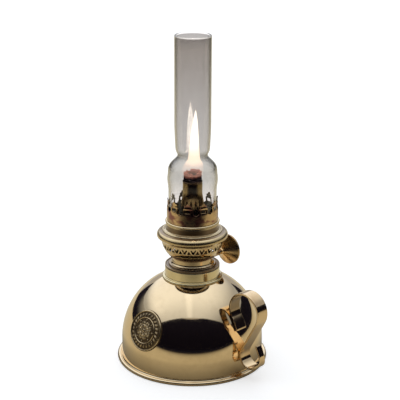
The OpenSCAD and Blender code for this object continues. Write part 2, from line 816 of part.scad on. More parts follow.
// The glass's outer radius: a straight foot, a low bulge, a shoulder, a waist and a long tube
flare_z = waist_z + 4;
straight_z = flare_z + 21.3;
shoulder_r = glass_foot_r + 0.3;
flare_r = glass_top_r - 0.75;
glass_outline = concat(
    [[glass_foot_r, 0]],
    [for (s = [0:0.125:1]) [glass_foot_r + (bulge_r - glass_foot_r) * smooth(s),
        bulge_z - 8 + 8 * s]],
    [for (s = [0.25:0.25:1]) [bulge_r + (shoulder_r - bulge_r) * smooth(s),
        bulge_z + (shoulder_z - bulge_z) * s]],
    [for (s = [0.0625:0.0625:1]) [shoulder_r + (waist_r - shoulder_r) * smooth(pow(s, 1.35)),
        shoulder_z + (waist_z - shoulder_z) * s]],
    [for (s = [0.125:0.125:1]) [waist_r + (flare_r - waist_r) * sin(90 * s),
        waist_z + 4 * s]],
    [for (s = [0.2:0.2:1]) [flare_r + (glass_top_r - flare_r) * sin(90 * s),
        flare_z + (straight_z - flare_z) * s]],
    [[glass_top_r, glass_h]]);

// The chimney is blown glass, pinched in above the flame's root.
module chimney_glass() {
    color([0.85, 0.88, 0.88, 0.35])
        translate([0, 0, glass_z])
            rotate_extrude()
                polygon(concat(glass_outline,
                    reversed([for (p = glass_outline) [p[0] - glass_t, p[1]]])));
}

tank_shell();
tank_base();
filler_collar();
badge_plate();
handle_strap();
seal_washer();
burner_ring();
burner_floor();
air_basket();
wick_tube_outer();
draught_tube();
air_port();
shaft_gland();
shaft_bearing();
winder_shaft();
spiked_wheel(-wheel_y);  // spiked_wheel_front
spiked_wheel(wheel_y);  // spiked_wheel_back
knob_cone();
knob_face();
wick();
gallery_ring();
chimney_crown();
air_deck();
chimney_glass();
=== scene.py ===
"""A kerosene night lamp of polished brass, standing on a pale table with its wick alight."""
import bmesh
import bpy
import math
from mathutils import Matrix, Vector, geometry, noise


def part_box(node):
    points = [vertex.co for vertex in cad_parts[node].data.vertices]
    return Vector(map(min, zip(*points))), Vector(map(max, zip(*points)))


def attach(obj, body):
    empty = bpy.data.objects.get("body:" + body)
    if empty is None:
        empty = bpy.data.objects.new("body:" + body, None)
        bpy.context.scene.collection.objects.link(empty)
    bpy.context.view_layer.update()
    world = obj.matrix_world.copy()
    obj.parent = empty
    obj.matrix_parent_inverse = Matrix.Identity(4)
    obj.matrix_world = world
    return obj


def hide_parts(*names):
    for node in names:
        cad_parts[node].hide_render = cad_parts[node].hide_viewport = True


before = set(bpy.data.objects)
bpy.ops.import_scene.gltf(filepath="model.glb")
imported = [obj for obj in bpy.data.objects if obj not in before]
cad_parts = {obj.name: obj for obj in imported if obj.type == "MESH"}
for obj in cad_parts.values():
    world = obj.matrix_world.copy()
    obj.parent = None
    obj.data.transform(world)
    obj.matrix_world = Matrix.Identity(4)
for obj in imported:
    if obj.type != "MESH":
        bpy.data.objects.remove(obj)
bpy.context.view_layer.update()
MM = 0.001


# The camera stands where the photograph was taken from: between the badge and the handle, a
# little above the top of the glass, and far enough off that upright lines hardly converge.
CAMERA_TURN = math.radians(44)
CAMERA_AWAY = 825.9 * MM
CAMERA_HIGH = 388.1 * MM
CAMERA_ASIDE = 5.3 * MM
CAMERA_DOWN = math.radians(18.03)
CAMERA_ROLL = math.radians(0.3)
toward_camera = Vector((math.sin(CAMERA_TURN), -math.cos(CAMERA_TURN), 0))
camera_right = Vector((math.cos(CAMERA_TURN), math.sin(CAMERA_TURN), 0))
camera = bpy.data.objects.new("camera", bpy.data.cameras.new("camera"))
bpy.context.scene.collection.objects.link(camera)
camera.data.lens = 110.15
camera.data.sensor_width = 36
camera.location = toward_camera * CAMERA_AWAY + camera_right * CAMERA_ASIDE
camera.location.z = CAMERA_HIGH
camera.rotation_euler = (Matrix.Rotation(CAMERA_TURN, 3, "Z")
                         @ Matrix.Rotation(math.pi / 2 - CAMERA_DOWN, 3, "X")
                         @ Matrix.Rotation(CAMERA_ROLL, 3, "Z")).to_euler()
bpy.context.scene.camera = camera
bpy.context.scene.view_settings.view_transform = "Standard"


# The tank is spun from sheet brass over a wooden chuck, then buffed and lacquered. Its dome and
# short wall are one shell, rolled outwards at the foot into the bead that the lamp stands on.
TANK_R, TANK_WALL, DOME_Z = 51.3, 0.8, 15
MOUTH_R = 19.07
BEAD_R, BEAD_Z, BEAD_OUT = 1.5, 1.35, 1.9
BRASS = (0.80, 0.61, 0.36)
STAIN = (0.34, 0.20, 0.08)
LATHE_STEPS = 160


def arc(centre, radius, start, end, count=10):
    """Points along an arc, in degrees, as (radius, height) pairs."""
    angles = [math.radians(start + (end - start) * i / count) for i in range(count + 1)]
    return [(centre[0] + radius * math.cos(a), centre[1] + radius * math.sin(a)) for a in angles]


def eased(points, cyclic=True):
    """Rounds each corner of an outline that has a third number, its radius."""
    out = []
    for i, point in enumerate(points):
        here = Vector(point[:2])
        if len(point) < 3 or (not cyclic and i in (0, len(points) - 1)):
            out.append(tuple(here))
            continue
        before = Vector(points[i - 1][:2])
        after = Vector(points[(i + 1) % len(points)][:2])
        reach = min(point[2], (before - here).length * 0.48, (after - here).length * 0.48)
        a = here + (before - here).normalized() * reach
        b = here + (after - here).normalized() * reach
        for t in (0, 0.2, 0.4, 0.6, 0.8, 1):
            out.append(tuple(a * (1 - t) ** 2 + here * 2 * t * (1 - t) + b * t ** 2))
    return out


def spin(bm, outline, cyclic=True, place=Matrix(), steps=LATHE_STEPS, wave=None):
    """Spins an outline of (radius, height) pairs in mm about the Z axis of a place.
    A wave moves each point along its radius, by turn and height, as a thread does."""
    rings = []
    for r, z in outline:
        ring = []
        for i in range(steps):
            turn = math.tau * i / steps
            reach = r + (wave(turn, r, z) if wave else 0)
            spot = Vector((reach * math.cos(turn), reach * math.sin(turn), z)) * MM
            ring.append(bm.verts.new(place @ spot))
        rings.append(ring)
    pairs = list(zip(rings, rings[1:])) + ([(rings[-1], rings[0])] if cyclic else [])
    for low, high in pairs:
        for i in range(steps):
            k = (i + 1) % steps
            bm.faces.new((low[i], low[k], high[k], high[i]))


def mesh_piece(name, bm, crease=40):
    """Makes a shown object of a finished bmesh, smooth except at its creases."""
    bmesh.ops.remove_doubles(bm, verts=bm.verts, dist=1e-7)
    bmesh.ops.dissolve_degenerate(bm, edges=bm.edges, dist=1e-8)
    bmesh.ops.recalc_face_normals(bm, faces=bm.faces)
    mesh = bpy.data.meshes.new(name)
    bm.to_mesh(mesh)
    bm.free()
    mesh.shade_smooth()
    mesh.set_sharp_from_angle(angle=math.radians(crease))
    made = bpy.data.objects.new(name, mesh)
    bpy.context.scene.collection.objects.link(made)
    even = made.modifiers.new("even shading", "WEIGHTED_NORMAL")
    even.keep_sharp = True
    return made


def turned(name, outline, **how):
    """One turned or spun piece."""
    bm = bmesh.new()
    spin(bm, outline, **how)
    return mesh_piece(name, bm)


def fitted(made, material, body, slot, *nodes):
    """Gives a piece its finish and its place on the lamp, and hides the nodes it stands for."""
    made.data.materials.clear()
    made.data.materials.append(material)
    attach(made, body)
    if nodes:
        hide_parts(*nodes)
    return made


def node_group(name, inputs, outputs):
    """An empty shader group with named sockets: a number makes a value, a triple a colour."""
    group = bpy.data.node_groups.new(name, "ShaderNodeTree")
    for label, value in inputs.items():
        single = isinstance(value, (int, float))
        kind = "NodeSocketFloat" if single else "NodeSocketColor"
        made = group.interface.new_socket(label, in_out="INPUT", socket_type=kind)
        made.default_value = value if single else (*value, 1)
    for label, kind in outputs.items():
        group.interface.new_socket(label, in_out="OUTPUT", socket_type="NodeSocket" + kind)
    return group, group.nodes.new("NodeGroupInput"), group.nodes.new("NodeGroupOutput")


def fill(tree, socket, value):
    """Links a socket to another, or sets it to a number or a colour."""
    if isinstance(value, bpy.types.NodeSocket):
        tree.links.new(value, socket)
    elif isinstance(value, tuple) and socket.type == "RGBA":
        socket.default_value = (*value, 1)
    else:
        socket.default_value = value


def add(tree, kind, settings=None, **sockets):
    """Adds a node, sets its options and fills its inputs by name; _0, _1 pick one by place."""
    made = tree.nodes.new("ShaderNode" + kind)
    for option, value in (settings or {}).items():
        setattr(made, option, value)
    for label, value in sockets.items():
        key = int(label[1:]) if label[0] == "_" else label.replace("_", " ")
        fill(tree, made.inputs[key], value)
    return made


def maths(tree, operation, first, second=0.0):
    """One step of arithmetic on values or sockets."""
    return add(tree, "Math", {"operation": operation}, _0=first, _1=second).outputs[0]


def mixed(tree, share, first, second):
    """A colour between two, by a share from 0 to 1."""
    made = add(tree, "Mix", {"data_type": "RGBA"}, _0=share, _6=first, _7=second)
    return made.outputs[2]


def mirrored_ray(tree):
    """1 for a ray that a surface has mirrored, also where it then passed through glass."""
    return maths(tree, "MINIMUM", add(tree, "LightPath").outputs["Glossy Depth"], 1.0)


def ranged(tree, value, low, high, to_low=0.0, to_high=1.0, shape="SMOOTHSTEP"):
    """Takes a value from one range to another, eased at its ends."""
    made = add(tree, "MapRange", {"interpolation_type": shape}, _0=value, _1=low, _2=high,
               _3=to_low, _4=to_high)
    return made.outputs[0]


def spin_marks():
    """Fine rings that a spinning tool leaves, as a height, with a slow waviness under them."""
    group, given, out = node_group("spin marks", {"Rings": 900.0, "Waves": 25.0},
                                   {"Height": "Float"})
    spot = add(group, "TexCoord").outputs["Object"]
    parts = add(group, "SeparateXYZ", Vector=spot)
    radius = maths(group, "SQRT", maths(group, "ADD", maths(group, "POWER", parts.outputs[0], 2.0),
                                        maths(group, "POWER", parts.outputs[1], 2.0)))
    line = add(group, "CombineXYZ", X=radius, Y=parts.outputs[2])
    fine = add(group, "TexNoise", Vector=line.outputs[0], Scale=given.outputs["Rings"], Detail=2.0)
    slow = add(group, "TexNoise", Vector=spot, Scale=given.outputs["Waves"], Detail=2.0)
    height = maths(group, "ADD", maths(group, "MULTIPLY", fine.outputs[0], 0.12), slow.outputs[0])
    fill(group, out.inputs["Height"], height)
    return group


def tarnish():
    """Cloudy stains in old brass, and a mask of where they are."""
    group, given, out = node_group(
        "tarnish", {"Clean": BRASS, "Stain": STAIN, "Size": 60.0, "Amount": 0.2},
        {"Color": "Color", "Mask": "Float"})
    spot = add(group, "TexCoord").outputs["Object"]
    size = given.outputs["Size"]
    cloud = add(group, "TexNoise", Vector=spot, Scale=size, Detail=6.0, Roughness=0.62,
                Distortion=0.4)
    speck = add(group, "TexNoise", Vector=spot, Scale=maths(group, "MULTIPLY", size, 9.0),
                Detail=3.0)
    both = maths(group, "ADD", maths(group, "MULTIPLY", cloud.outputs[0], 0.75),
                 maths(group, "MULTIPLY", speck.outputs[0], 0.25))
    mask = maths(group, "MULTIPLY", ranged(group, both, 0.44, 0.72), given.outputs["Amount"])
    fill(group, out.inputs["Color"],
         mixed(group, mask, given.outputs["Clean"], given.outputs["Stain"]))
    fill(group, out.inputs["Mask"], mask)
    return group


SPIN_MARKS = spin_marks()
TARNISH = tarnish()


def placed(tree, group, **values):
    """Puts a shader group in a material with its own values."""
    made = tree.nodes.new("ShaderNodeGroup")
    made.node_tree = group
    for label, value in values.items():
        fill(tree, made.inputs[label], value)
    return made


def plain_material(name):
    """A new material, its node tree and its shader."""
    made = bpy.data.materials.new(name)
    made.use_nodes = True
    return made, made.node_tree, made.node_tree.nodes["Principled BSDF"]


def inside_dark(tree, colour, dark=(0.045, 0.025, 0.014)):
    """Darker wherever a piece is marked as inner: painted shade on the inner side of sheet metal and
    inside the handle's loop, and a browner edge on the knob.
    """
    inner = add(tree, "Attribute", {"attribute_name": "inner"}).outputs["Fac"]
    return mixed(tree, inner, colour, dark)


def brass(name, clean, stain, amount, smooth, dull, size=60.0, rings=900.0, dents=0.02,
          lacquer=0.5, grain=0.0, dark_bands=()):
    """Brass with cloudy stains, which are duller than the clean metal, and fine spin marks.
    Darker, duller bands lie at heights: a height in mm, its reach up and down, how thick it is and
    its colour. Where a band darkens a crease or a face under another part, it is painted shade."""
    made, tree, shader = plain_material(name)
    film = placed(tree, TARNISH, Clean=clean, Stain=stain, Size=size, Amount=amount)
    colour = film.outputs["Color"]
    rough = ranged(tree, film.outputs["Mask"], 0.0, 1.0, smooth, dull, "LINEAR")
    if dark_bands:
        high = add(tree, "SeparateXYZ", Vector=add(tree, "TexCoord").outputs["Object"]).outputs[2]
    for middle, spread, share, band_colour in dark_bands:
        gap = maths(tree, "ABSOLUTE", maths(tree, "SUBTRACT", high, middle * MM))
        band_share = ranged(tree, gap, spread * MM / 2, spread * MM, share, 0.0)
        colour = mixed(tree, band_share, colour, band_colour)
        rough = maths(tree, "ADD", rough, maths(tree, "MULTIPLY", band_share, 0.2))
    # Painted shade on the inner side of sheet metal, wherever the mesh marks it as inner.
    fill(tree, shader.inputs["Base Color"], inside_dark(tree, colour))
    fill(tree, shader.inputs["Roughness"], rough)
    marks = placed(tree, SPIN_MARKS, Rings=rings)
    bump = add(tree, "Bump", Strength=dents, Distance=0.001, Height=marks.outputs["Height"])
    fill(tree, shader.inputs["Normal"], bump.outputs[0])
    shader.inputs["Metallic"].default_value = 1.0
    shader.inputs["Anisotropic"].default_value = grain
    shader.inputs["Coat Weight"].default_value = lacquer
    shader.inputs["Coat Roughness"].default_value = 0.04
    return made


tank_brass = brass("polished brass", BRASS, STAIN, 0.22, 0.075, 0.16, size=28.0, dents=0.02)
bead_c = (TANK_R + BEAD_OUT, BEAD_Z)
bead_low = math.degrees(math.asin(BEAD_Z / BEAD_R))
inner_r = TANK_R - TANK_WALL
tank_outline = (
    arc((0, DOME_Z), TANK_R, math.degrees(math.acos(MOUTH_R / TANK_R)), 0, 72)
    + eased([(TANK_R, DOME_Z - 2), (TANK_R, BEAD_Z + BEAD_R * 1.2, 1.0),
             arc(bead_c, BEAD_R, 140, 140, 1)[0]], cyclic=False)
    + arc(bead_c, BEAD_R, 136, -bead_low, 20)
    + [(inner_r + 1.9, 0), (inner_r + 0.4, BEAD_Z * 0.6), (inner_r, BEAD_Z + 0.6)]
    + arc((0, DOME_Z), inner_r, 0, math.degrees(math.acos(MOUTH_R / inner_r)), 48))
fitted(turned("tank_dome", tank_outline, steps=224), tank_brass, "tank", "polished_brass",
       "tank_shell")


# The base is a pressed plate, soldered into the wall a little above the table, and left as it
# came from the press: duller than the outside, with the solder's brown haze on it.
def kept(node, material):
    """Gives a node that keeps its own shape its finish."""
    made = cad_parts[node]
    if not made.material_slots:
        made.data.materials.append(material)
    for entry in made.material_slots:
        entry.material = material


kept("tank_base", brass("pressed plate", (0.72, 0.50, 0.24), (0.25, 0.15, 0.07), 0.8, 0.28, 0.5,
                        size=45.0, dents=0.08, lacquer=0.0))


# The collar is a turned ring with a bead at its foot, sweated into the dome's mouth. Its bore
# has the thread that the burner screws into.
COLLAR_R, BORE_R, SPIGOT_T = 19.7, 18.2, 0.85
COLLAR_BEAD_R, COLLAR_BEAD_OUT = 0.9, 1.3
THREAD_PITCH, THREAD_DEPTH = 1.5, 0.35
collar_low, collar_high = (corner.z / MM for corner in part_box("filler_collar"))


def dome_height(r):
    """How high the dome's face is at a distance from the axis."""
    return DOME_Z + math.sqrt(TANK_R ** 2 - r ** 2)


def thread_wave(wall, depth, bottom, top):
    """How far a thread is cut into a wall at a turn and a height, running out at both ends."""
    def wave(turn, r, z):
        if abs(r - wall) > 0.01 or not bottom < z < top:
            return 0
        across = (z / THREAD_PITCH - turn / math.tau) % 1
        fade = min(1, (z - bottom) / 0.5, (top - z) / 0.5)
        return depth * fade * (0.5 - 0.5 * math.cos(math.tau * across))
    return wave


def upright(r, low, high, step=0.15):
    """Close points up or down a straight wall, for a thread to be cut in."""
    count = max(2, int(abs(high - low) / step))
    return [(r, low + (high - low) * i / count) for i in range(count + 1)]


bead_ring = COLLAR_R + COLLAR_BEAD_OUT
collar_bead = (bead_ring, dome_height(bead_ring) + COLLAR_BEAD_R * 2 / 3 + 0.04)
spigot_r = BORE_R + SPIGOT_T
collar_outline = (
    upright(BORE_R, collar_high - 0.3, collar_low + 0.2)
    + [(BORE_R + 0.2, collar_low), (spigot_r, collar_low), (spigot_r, dome_height(spigot_r) + 0.02)]
    + arc(collar_bead, COLLAR_BEAD_R, -60, 104, 18)
    + eased([(COLLAR_R + 0.5, collar_bead[1] + 0.8), (COLLAR_R, collar_bead[1] + 1.0, 0.3),
             (COLLAR_R, collar_high, 0.22), (BORE_R + 0.3, collar_high)], cyclic=False))
collar_brass = brass("collar brass", (0.74, 0.61, 0.34), STAIN, 0.25, 0.17, 0.26, size=90.0,
                     rings=1500.0, dents=0.015, grain=0.4)
fitted(turned("collar", collar_outline,
              wave=thread_wave(BORE_R, THREAD_DEPTH, collar_low + 0.6, collar_high - 0.4)),
       collar_brass, "tank", "polished_brass", "filler_collar")


# The badge is a thin disc struck with a rim, a ring of little leaves and a rosette, then
# darkened and rubbed back, so that its raised work is bright and its ground is brown.
BADGE_R, BADGE_LIFT = 14.75, 21.3
BADGE_T, RELIEF = 0.8, 0.6
INNER_RING = 9.1
LEAVES, PETALS = 26, 8


def ridge(distance, reach):
    """A soft round ridge, 1 at its middle and 0 beyond its reach."""
    share = min(1.0, abs(distance) / reach)
    return (1 - share * share) ** 2


def badge_relief(r, turn):
    """How high the badge's work stands at a place on it, from 0 to 1."""
    rim = max(ridge(r - (BADGE_R - 0.75), 0.75) ** 0.5, ridge(r - (BADGE_R - 1.9), 0.22) * 0.6,
              ridge(r - INNER_RING, 0.5))
    ring = (BADGE_R - 1.6 + INNER_RING) / 2
    across = ((turn * LEAVES / math.tau) % 1 - 0.5) * math.tau * r / LEAVES
    slant = across + (r - ring) * 0.35
    leaf = (ridge(slant, 0.85) * ridge(r - ring, 1.6)) ** 0.6
    leaf *= 1 - 0.65 * ridge(slant, 0.25) * ridge(r - ring, 1.2)
    if r > INNER_RING - 0.4:
        return max(rim, leaf)
    side = abs((turn * PETALS / math.tau) % 1 - 0.5) * 2
    edge = (INNER_RING - 1.2) * (0.62 + 0.38 * math.cos(side * math.pi / 2) ** 0.7)
    petal = max(0.0, 1 - (r / edge) ** 6) * (0.45 + 0.55 * min(1, side * 3))
    petal *= (0.75 + 0.25 * math.cos(r * 3.2 + side * 2)) * min(1, max(0, r - 1.6) * 2)
    bud = ridge((1 - side) * r * math.pi / PETALS, 0.6) * ridge(r - INNER_RING + 1.5, 0.9)
    return max(rim, petal, bud, ridge(r, 1.7) ** 0.5)


def badge_piece():
    """A fine polar net laid on the dome, raised by the struck work, with a closed back."""
    rows, spokes = 84, 416
    bm = bmesh.new()
    raised = bm.verts.layers.float.new("raised")
    lift = (Matrix.Translation((0, 0, DOME_Z * MM))
            @ Matrix.Rotation(math.radians(90 - BADGE_LIFT), 4, "X"))

    def ring_at(r, height, struck):
        """A ring of points over the dome, each raised by the work where the face is struck."""
        ring = []
        for k in range(spokes):
            turn = math.tau * k / spokes
            high = badge_relief(r, turn) if struck else 0
            spot = Vector((r * math.cos(turn), r * math.sin(turn), 0))
            spot.z = math.sqrt((TANK_R + height + RELIEF * high) ** 2 - r ** 2)
            ring.append(bm.verts.new(lift @ (spot * MM)))
            ring[-1][raised] = high
        return ring

    rings = []
    for i in range(rows + 1):
        r = BADGE_R * i / rows
        drop = 0.3 * max(0.0, 1 - (BADGE_R - r) / 0.3) ** 2
        rings.append(ring_at(r, BADGE_T - drop, True))
    rings += [ring_at(r, 0.03, False) for r in (BADGE_R, BADGE_R / 2, 0)]
    for low, high in zip(rings, rings[1:]):
        for k in range(spokes):
            n = (k + 1) % spokes
            bm.faces.new((low[k], low[n], high[n], high[k]))
    return mesh_piece("badge", bm, crease=60)


def badge_finish():
    """Dark in the ground and bright on the raised work."""
    made, tree, shader = plain_material("struck brass")
    high = add(tree, "Attribute", {"attribute_name": "raised"}).outputs["Fac"]
    rub = ranged(tree, high, 0.18, 0.85)
    film = placed(tree, TARNISH, Clean=mixed(tree, rub, (0.125, 0.085, 0.045), (0.66, 0.50, 0.29)),
                  Stain=(0.10, 0.065, 0.035), Size=220.0, Amount=0.7)
    fill(tree, shader.inputs["Base Color"], film.outputs["Color"])
    fill(tree, shader.inputs["Roughness"], ranged(tree, rub, 0.0, 1.0, 0.55, 0.26, "LINEAR"))
    shader.inputs["Metallic"].default_value = 1.0
    return made


fitted(badge_piece(), badge_finish(), "tank", "aged_brass", "badge_plate")


# The handle is one flat strap, bent round bars into a finger loop. Its inner leg lies on the
# dome, its outer leg comes back to the wall, and its end curls up there into a narrow tail.
STRAP_W, STRAP_T, STRAP_EASE = 10.0, 1.5, 0.45
LOOP_R, LOOP_LIFT, LEG_LEAN = 13.05, 33.1, 29.5
CURL_R, TAIL_LEAN, TAIL_RUN, TAIL_W = 8.0, 25.0, 7.0, 5.2
INNER_END = 22.0


def strap_path():
    """The strap's middle line, from the dome round the loop and the curl to the tail's end, as
    (x, z, width) points."""
    strap_r = TANK_R + 0.02 + STRAP_T / 2
    lift, lean, back = (math.radians(a) for a in (LOOP_LIFT, LEG_LEAN, TAIL_LEAN))
    loop = ((strap_r + LOOP_R) * math.cos(lift), DOME_Z + (strap_r + LOOP_R) * math.sin(lift))
    leg_top = (loop[0] + LOOP_R * math.cos(lean), loop[1] - LOOP_R * math.sin(lean))
    curl_x = strap_r + CURL_R
    run = (leg_top[0] - curl_x + CURL_R * math.cos(lean)) / math.sin(lean)
    curl = (curl_x, leg_top[1] - run * math.cos(lean) - CURL_R * math.sin(lean))
    leg = [(leg_top[0] - run * math.sin(lean) * s / 12, leg_top[1] - run * math.cos(lean) * s / 12)
           for s in range(1, 12)]
    turn = arc(curl, CURL_R, 180 - LEG_LEAN, 360 + TAIL_LEAN, 64)
    tail = [(turn[-1][0] - TAIL_RUN * math.sin(back) * s / 8,
             turn[-1][1] + TAIL_RUN * math.cos(back) * s / 8) for s in range(1, 9)]
    wide = (arc((0, DOME_Z), strap_r, INNER_END, LOOP_LIFT, 10)[:-1]
            + arc(loop, LOOP_R, 180 + LOOP_LIFT, -LEG_LEAN, 72) + leg)
    out = [(x, z, STRAP_W) for x, z in wide]
    narrow_z = curl[1] - CURL_R + STRAP_T / 2
    for x, z in turn + tail:
        share = min(1, max(0, (z - narrow_z) / (curl[1] - narrow_z))) if x > curl[0] else 0
        out.append((x, z, STRAP_W + (TAIL_W - STRAP_W) * share))
    return out


def strap_section(width, thin):
    """The strap's cross-section as (across, outward) pairs, with its corners eased."""
    half_w, half_t = width / 2, STRAP_T / 2 * thin
    ring = eased([(-half_w, -half_t, STRAP_EASE), (half_w, -half_t, STRAP_EASE),
                  (half_w, half_t, STRAP_EASE), (-half_w, half_t, STRAP_EASE)])
    out = []
    for i, (x, y) in enumerate(ring):
        next_x = ring[(i + 1) % len(ring)][0]
        parts = 8 if abs(next_x - x) > half_w else 1
        out += [(x + (next_x - x) * s / parts, y) for s in range(parts)]
    return out


def strap_piece():
    """The section carried along the middle line, with its two ends dressed round."""
    path = strap_path()
    bm = bmesh.new()
    inner = bm.verts.layers.float.new("inner")
    rings = []
    for i, (x, z, width) in enumerate(path):
        before, after = path[max(0, i - 1)], path[min(len(path) - 1, i + 1)]
        along = Vector((after[0] - before[0], after[1] - before[1])).normalized()
        section = strap_section(width, 1.0 if 0 < i < len(path) - 1 else 0.7)
        rings.append([bm.verts.new(Vector((x + along.y * t, w, z - along.x * t)) * MM)
                      for w, t in section])
        # Painted shade: the inside of the finger loop is marked to be darkened.
        loop_shade = min(1, max(0, (i - 10) / 8), max(0, (76 - i) / 12)) * 0.7
        for vert, (w, t) in zip(rings[-1], section):
            vert[inner] = loop_shade if t > STRAP_T * 0.45 else 0
    for low, high in zip(rings, rings[1:]):
        for k in range(len(low)):
            n = (k + 1) % len(low)
            bm.faces.new((low[k], low[n], high[n], high[k]))
    bm.faces.new(rings[0])
    bm.faces.new(rings[-1])
    return mesh_piece("handle", bm)


strap_brass = brass("strap brass", (0.78, 0.57, 0.32), (0.42, 0.19, 0.05), 0.35, 0.11, 0.22, size=90.0,
                    rings=350.0)
fitted(strap_piece(), strap_brass, "tank", "polished_brass", "handle_strap")


# The seal is a flat washer of dark rubber that the burner's flange is screwed down on.
rubber, rubber_tree, rubber_shader = plain_material("seal rubber")
rubber_grain = add(rubber_tree, "TexNoise", Scale=1800.0, Detail=3.0,
                   Vector=add(rubber_tree, "TexCoord").outputs["Object"])
fill(rubber_tree, rubber_shader.inputs["Base Color"],
     mixed(rubber_tree, rubber_grain.outputs[0], (0.010, 0.009, 0.008), (0.035, 0.031, 0.027)))
rubber_shader.inputs["Roughness"].default_value = 0.6
kept("seal_washer", rubber)


# The burner's screw ring is turned: a threaded skirt, a dished flange with a raised step, and
# the neck under the basket. It is a plainer brass than the tank's, handled more and browner.
SKIRT_R, SKIRT_T = 18.15, 0.9
STEP_R, STEP_H, LIP_H, FLANGE_T = 17.0, 1.8, 1.1, 0.5
NECK_R, NECK_T = 14.3, 0.6
BURNER_BRASS = (0.66, 0.50, 0.28)
BURNER_STAIN = (0.20, 0.105, 0.05)
ring_low, ring_high = (corner.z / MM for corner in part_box("burner_ring"))
flange_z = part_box("seal_washer")[1].z / MM + 0.015
# Its dark bands are painted shade on the flange's dish, on the step and at the basket's foot, under the
# basket's bowl.
burner_metal = brass("burner brass", BURNER_BRASS, BURNER_STAIN, 0.5, 0.11, 0.3, size=110.0,
                     rings=1400.0, lacquer=0.3,
                     dark_bands=[(flange_z + FLANGE_T, 0.7, 0.85, (0.10, 0.055, 0.03)),
                            (flange_z + STEP_H, 0.5, 0.6, (0.16, 0.09, 0.045)),
                            (ring_high + 1.6, 2.8, 0.8, (0.20, 0.085, 0.045))])
ring_outline = (
    [(SKIRT_R - SKIRT_T, flange_z), (SKIRT_R - SKIRT_T, ring_low)]
    + upright(SKIRT_R, ring_low + 0.02, flange_z - 0.05)
    + eased([(SKIRT_R, flange_z), (COLLAR_R, flange_z, 0.15), (COLLAR_R, flange_z + LIP_H, 0.25),
             (COLLAR_R - 0.6, flange_z + LIP_H, 0.25), (COLLAR_R - 0.8, flange_z + FLANGE_T, 0.25),
             (STEP_R + 0.1, flange_z + FLANGE_T, 0.3), (STEP_R - 0.2, flange_z + STEP_H, 0.35),
             (NECK_R + 1.3, flange_z + STEP_H, 0.4), (NECK_R, flange_z + STEP_H + 1.2, 0.9),
             (NECK_R, ring_high, 0.1), (NECK_R - NECK_T, ring_high),
             (NECK_R - NECK_T, flange_z)], cyclic=False))
fitted(turned("screw_ring", ring_outline,
              wave=thread_wave(SKIRT_R, -THREAD_DEPTH, ring_low + 0.2, flange_z - 0.6)),
       burner_metal, "burner", "burner_brass", "burner_ring")


# Inside the burner are the plate across the neck, the draught tube with its air port, the
# upright under the winder's shaft, and the deck. They are painted dark brown, as painted shade deep
# inside the burner.
shaded_inner_metal = brass("shaded inner brass", (0.20, 0.125, 0.06), (0.07, 0.035, 0.02), 0.85, 0.4, 0.6,
                    size=160.0, lacquer=0.0, dents=0.05)
for inner_node in ("burner_floor", "draught_tube", "air_port", "shaft_bearing", "air_deck",
                   "spiked_wheel_front", "spiked_wheel_back"):
    kept(inner_node, shaded_inner_metal)


# The basket is a bowl pressed from sheet and pierced all round: a triangle, then a forked hole.
# It stands on the neck on a bead, and lets the air in under the flame.
BASKET_R, BASKET_T = 22.3, 0.6
BASKET_FOOT_R, BASKET_BEAD_R = 15.4, 0.7
BOWL_DROP = 1.43
PIERCED, PIERCED_H, PIERCED_DROP, PIERCED_TURN = 22, 4.0, 1.7, -35.8
PIERCED_RIB = 0.85
basket_low, basket_high = (corner.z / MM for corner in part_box("air_basket"))
basket_rise = basket_high - basket_low + 0.02
bowl_x = ((BASKET_R ** 2 - BASKET_FOOT_R ** 2 + BOWL_DROP ** 2 - (basket_rise + BOWL_DROP) ** 2)
          / (2 * (BASKET_R - BASKET_FOOT_R)))
bowl_z = basket_high + BOWL_DROP
BOWL_R = math.hypot(BASKET_R - bowl_x, BOWL_DROP)


def bowl_radius(z):
    """The bowl's outer radius at a height."""
    return bowl_x + math.sqrt(BOWL_R ** 2 - (z - bowl_z) ** 2)


def within(spot, outline):
    """Whether a point lies inside a closed outline."""
    inside = False
    for i, (x, y) in enumerate(outline):
        last_x, last_y = outline[i - 1]
        if (y > spot[1]) != (last_y > spot[1]):
            if spot[0] < (last_x - x) * (spot[1] - y) / (last_y - y) + x:
                inside = not inside
    return inside


def cut_sheet(bm, border, holes, radius, reference, count, turn, step):
    """Lays a flat sheet of equal sectors round the axis, each with the same border and holes.
    Their points are (distance round the reference radius, height), in mm."""
    points = []
    edges = []
    for outline in (border, *holes):
        first = len(points)
        points += [Vector(spot) for spot in outline]
        edges += [(first + i, first + (i + 1) % len(outline)) for i in range(len(outline))]

    def solid(spot):
        """Whether there is metal at a point of the flat sheet."""
        return within(spot, border) and not any(within(spot, hole) for hole in holes)

    drawn = list(points)
    low_x, high_x = min(p.x for p in drawn), max(p.x for p in drawn)
    low_z, high_z = min(p.y for p in drawn), max(p.y for p in drawn)
    for i in range(1, int((high_x - low_x) / step)):
        for k in range(1, int((high_z - low_z) / step)):
            spot = Vector((low_x + i * step, low_z + k * step))
            if solid(spot) and min((spot - p).length for p in drawn) > step * 0.6:
                points.append(spot)
    flat, _, cells, *_ = geometry.delaunay_2d_cdt(points, edges, [], 0, 1e-6)
    cells = [cell for cell in cells if solid((flat[cell[0]] + flat[cell[1]] + flat[cell[2]]) / 3)]
    used = sorted({i for cell in cells for i in cell})
    for sector in range(count):
        start = math.radians(turn) + math.tau * sector / count
        made = {}
        for i in used:
            angle = start + flat[i].x / reference
            r = radius(flat[i].y)
            spot = Vector((r * math.cos(angle), r * math.sin(angle), flat[i].y))
            made[i] = bm.verts.new(spot * MM)
        for cell in cells:
            bm.faces.new([made[i] for i in cell])
    bmesh.ops.remove_doubles(bm, verts=bm.verts, dist=2e-6)


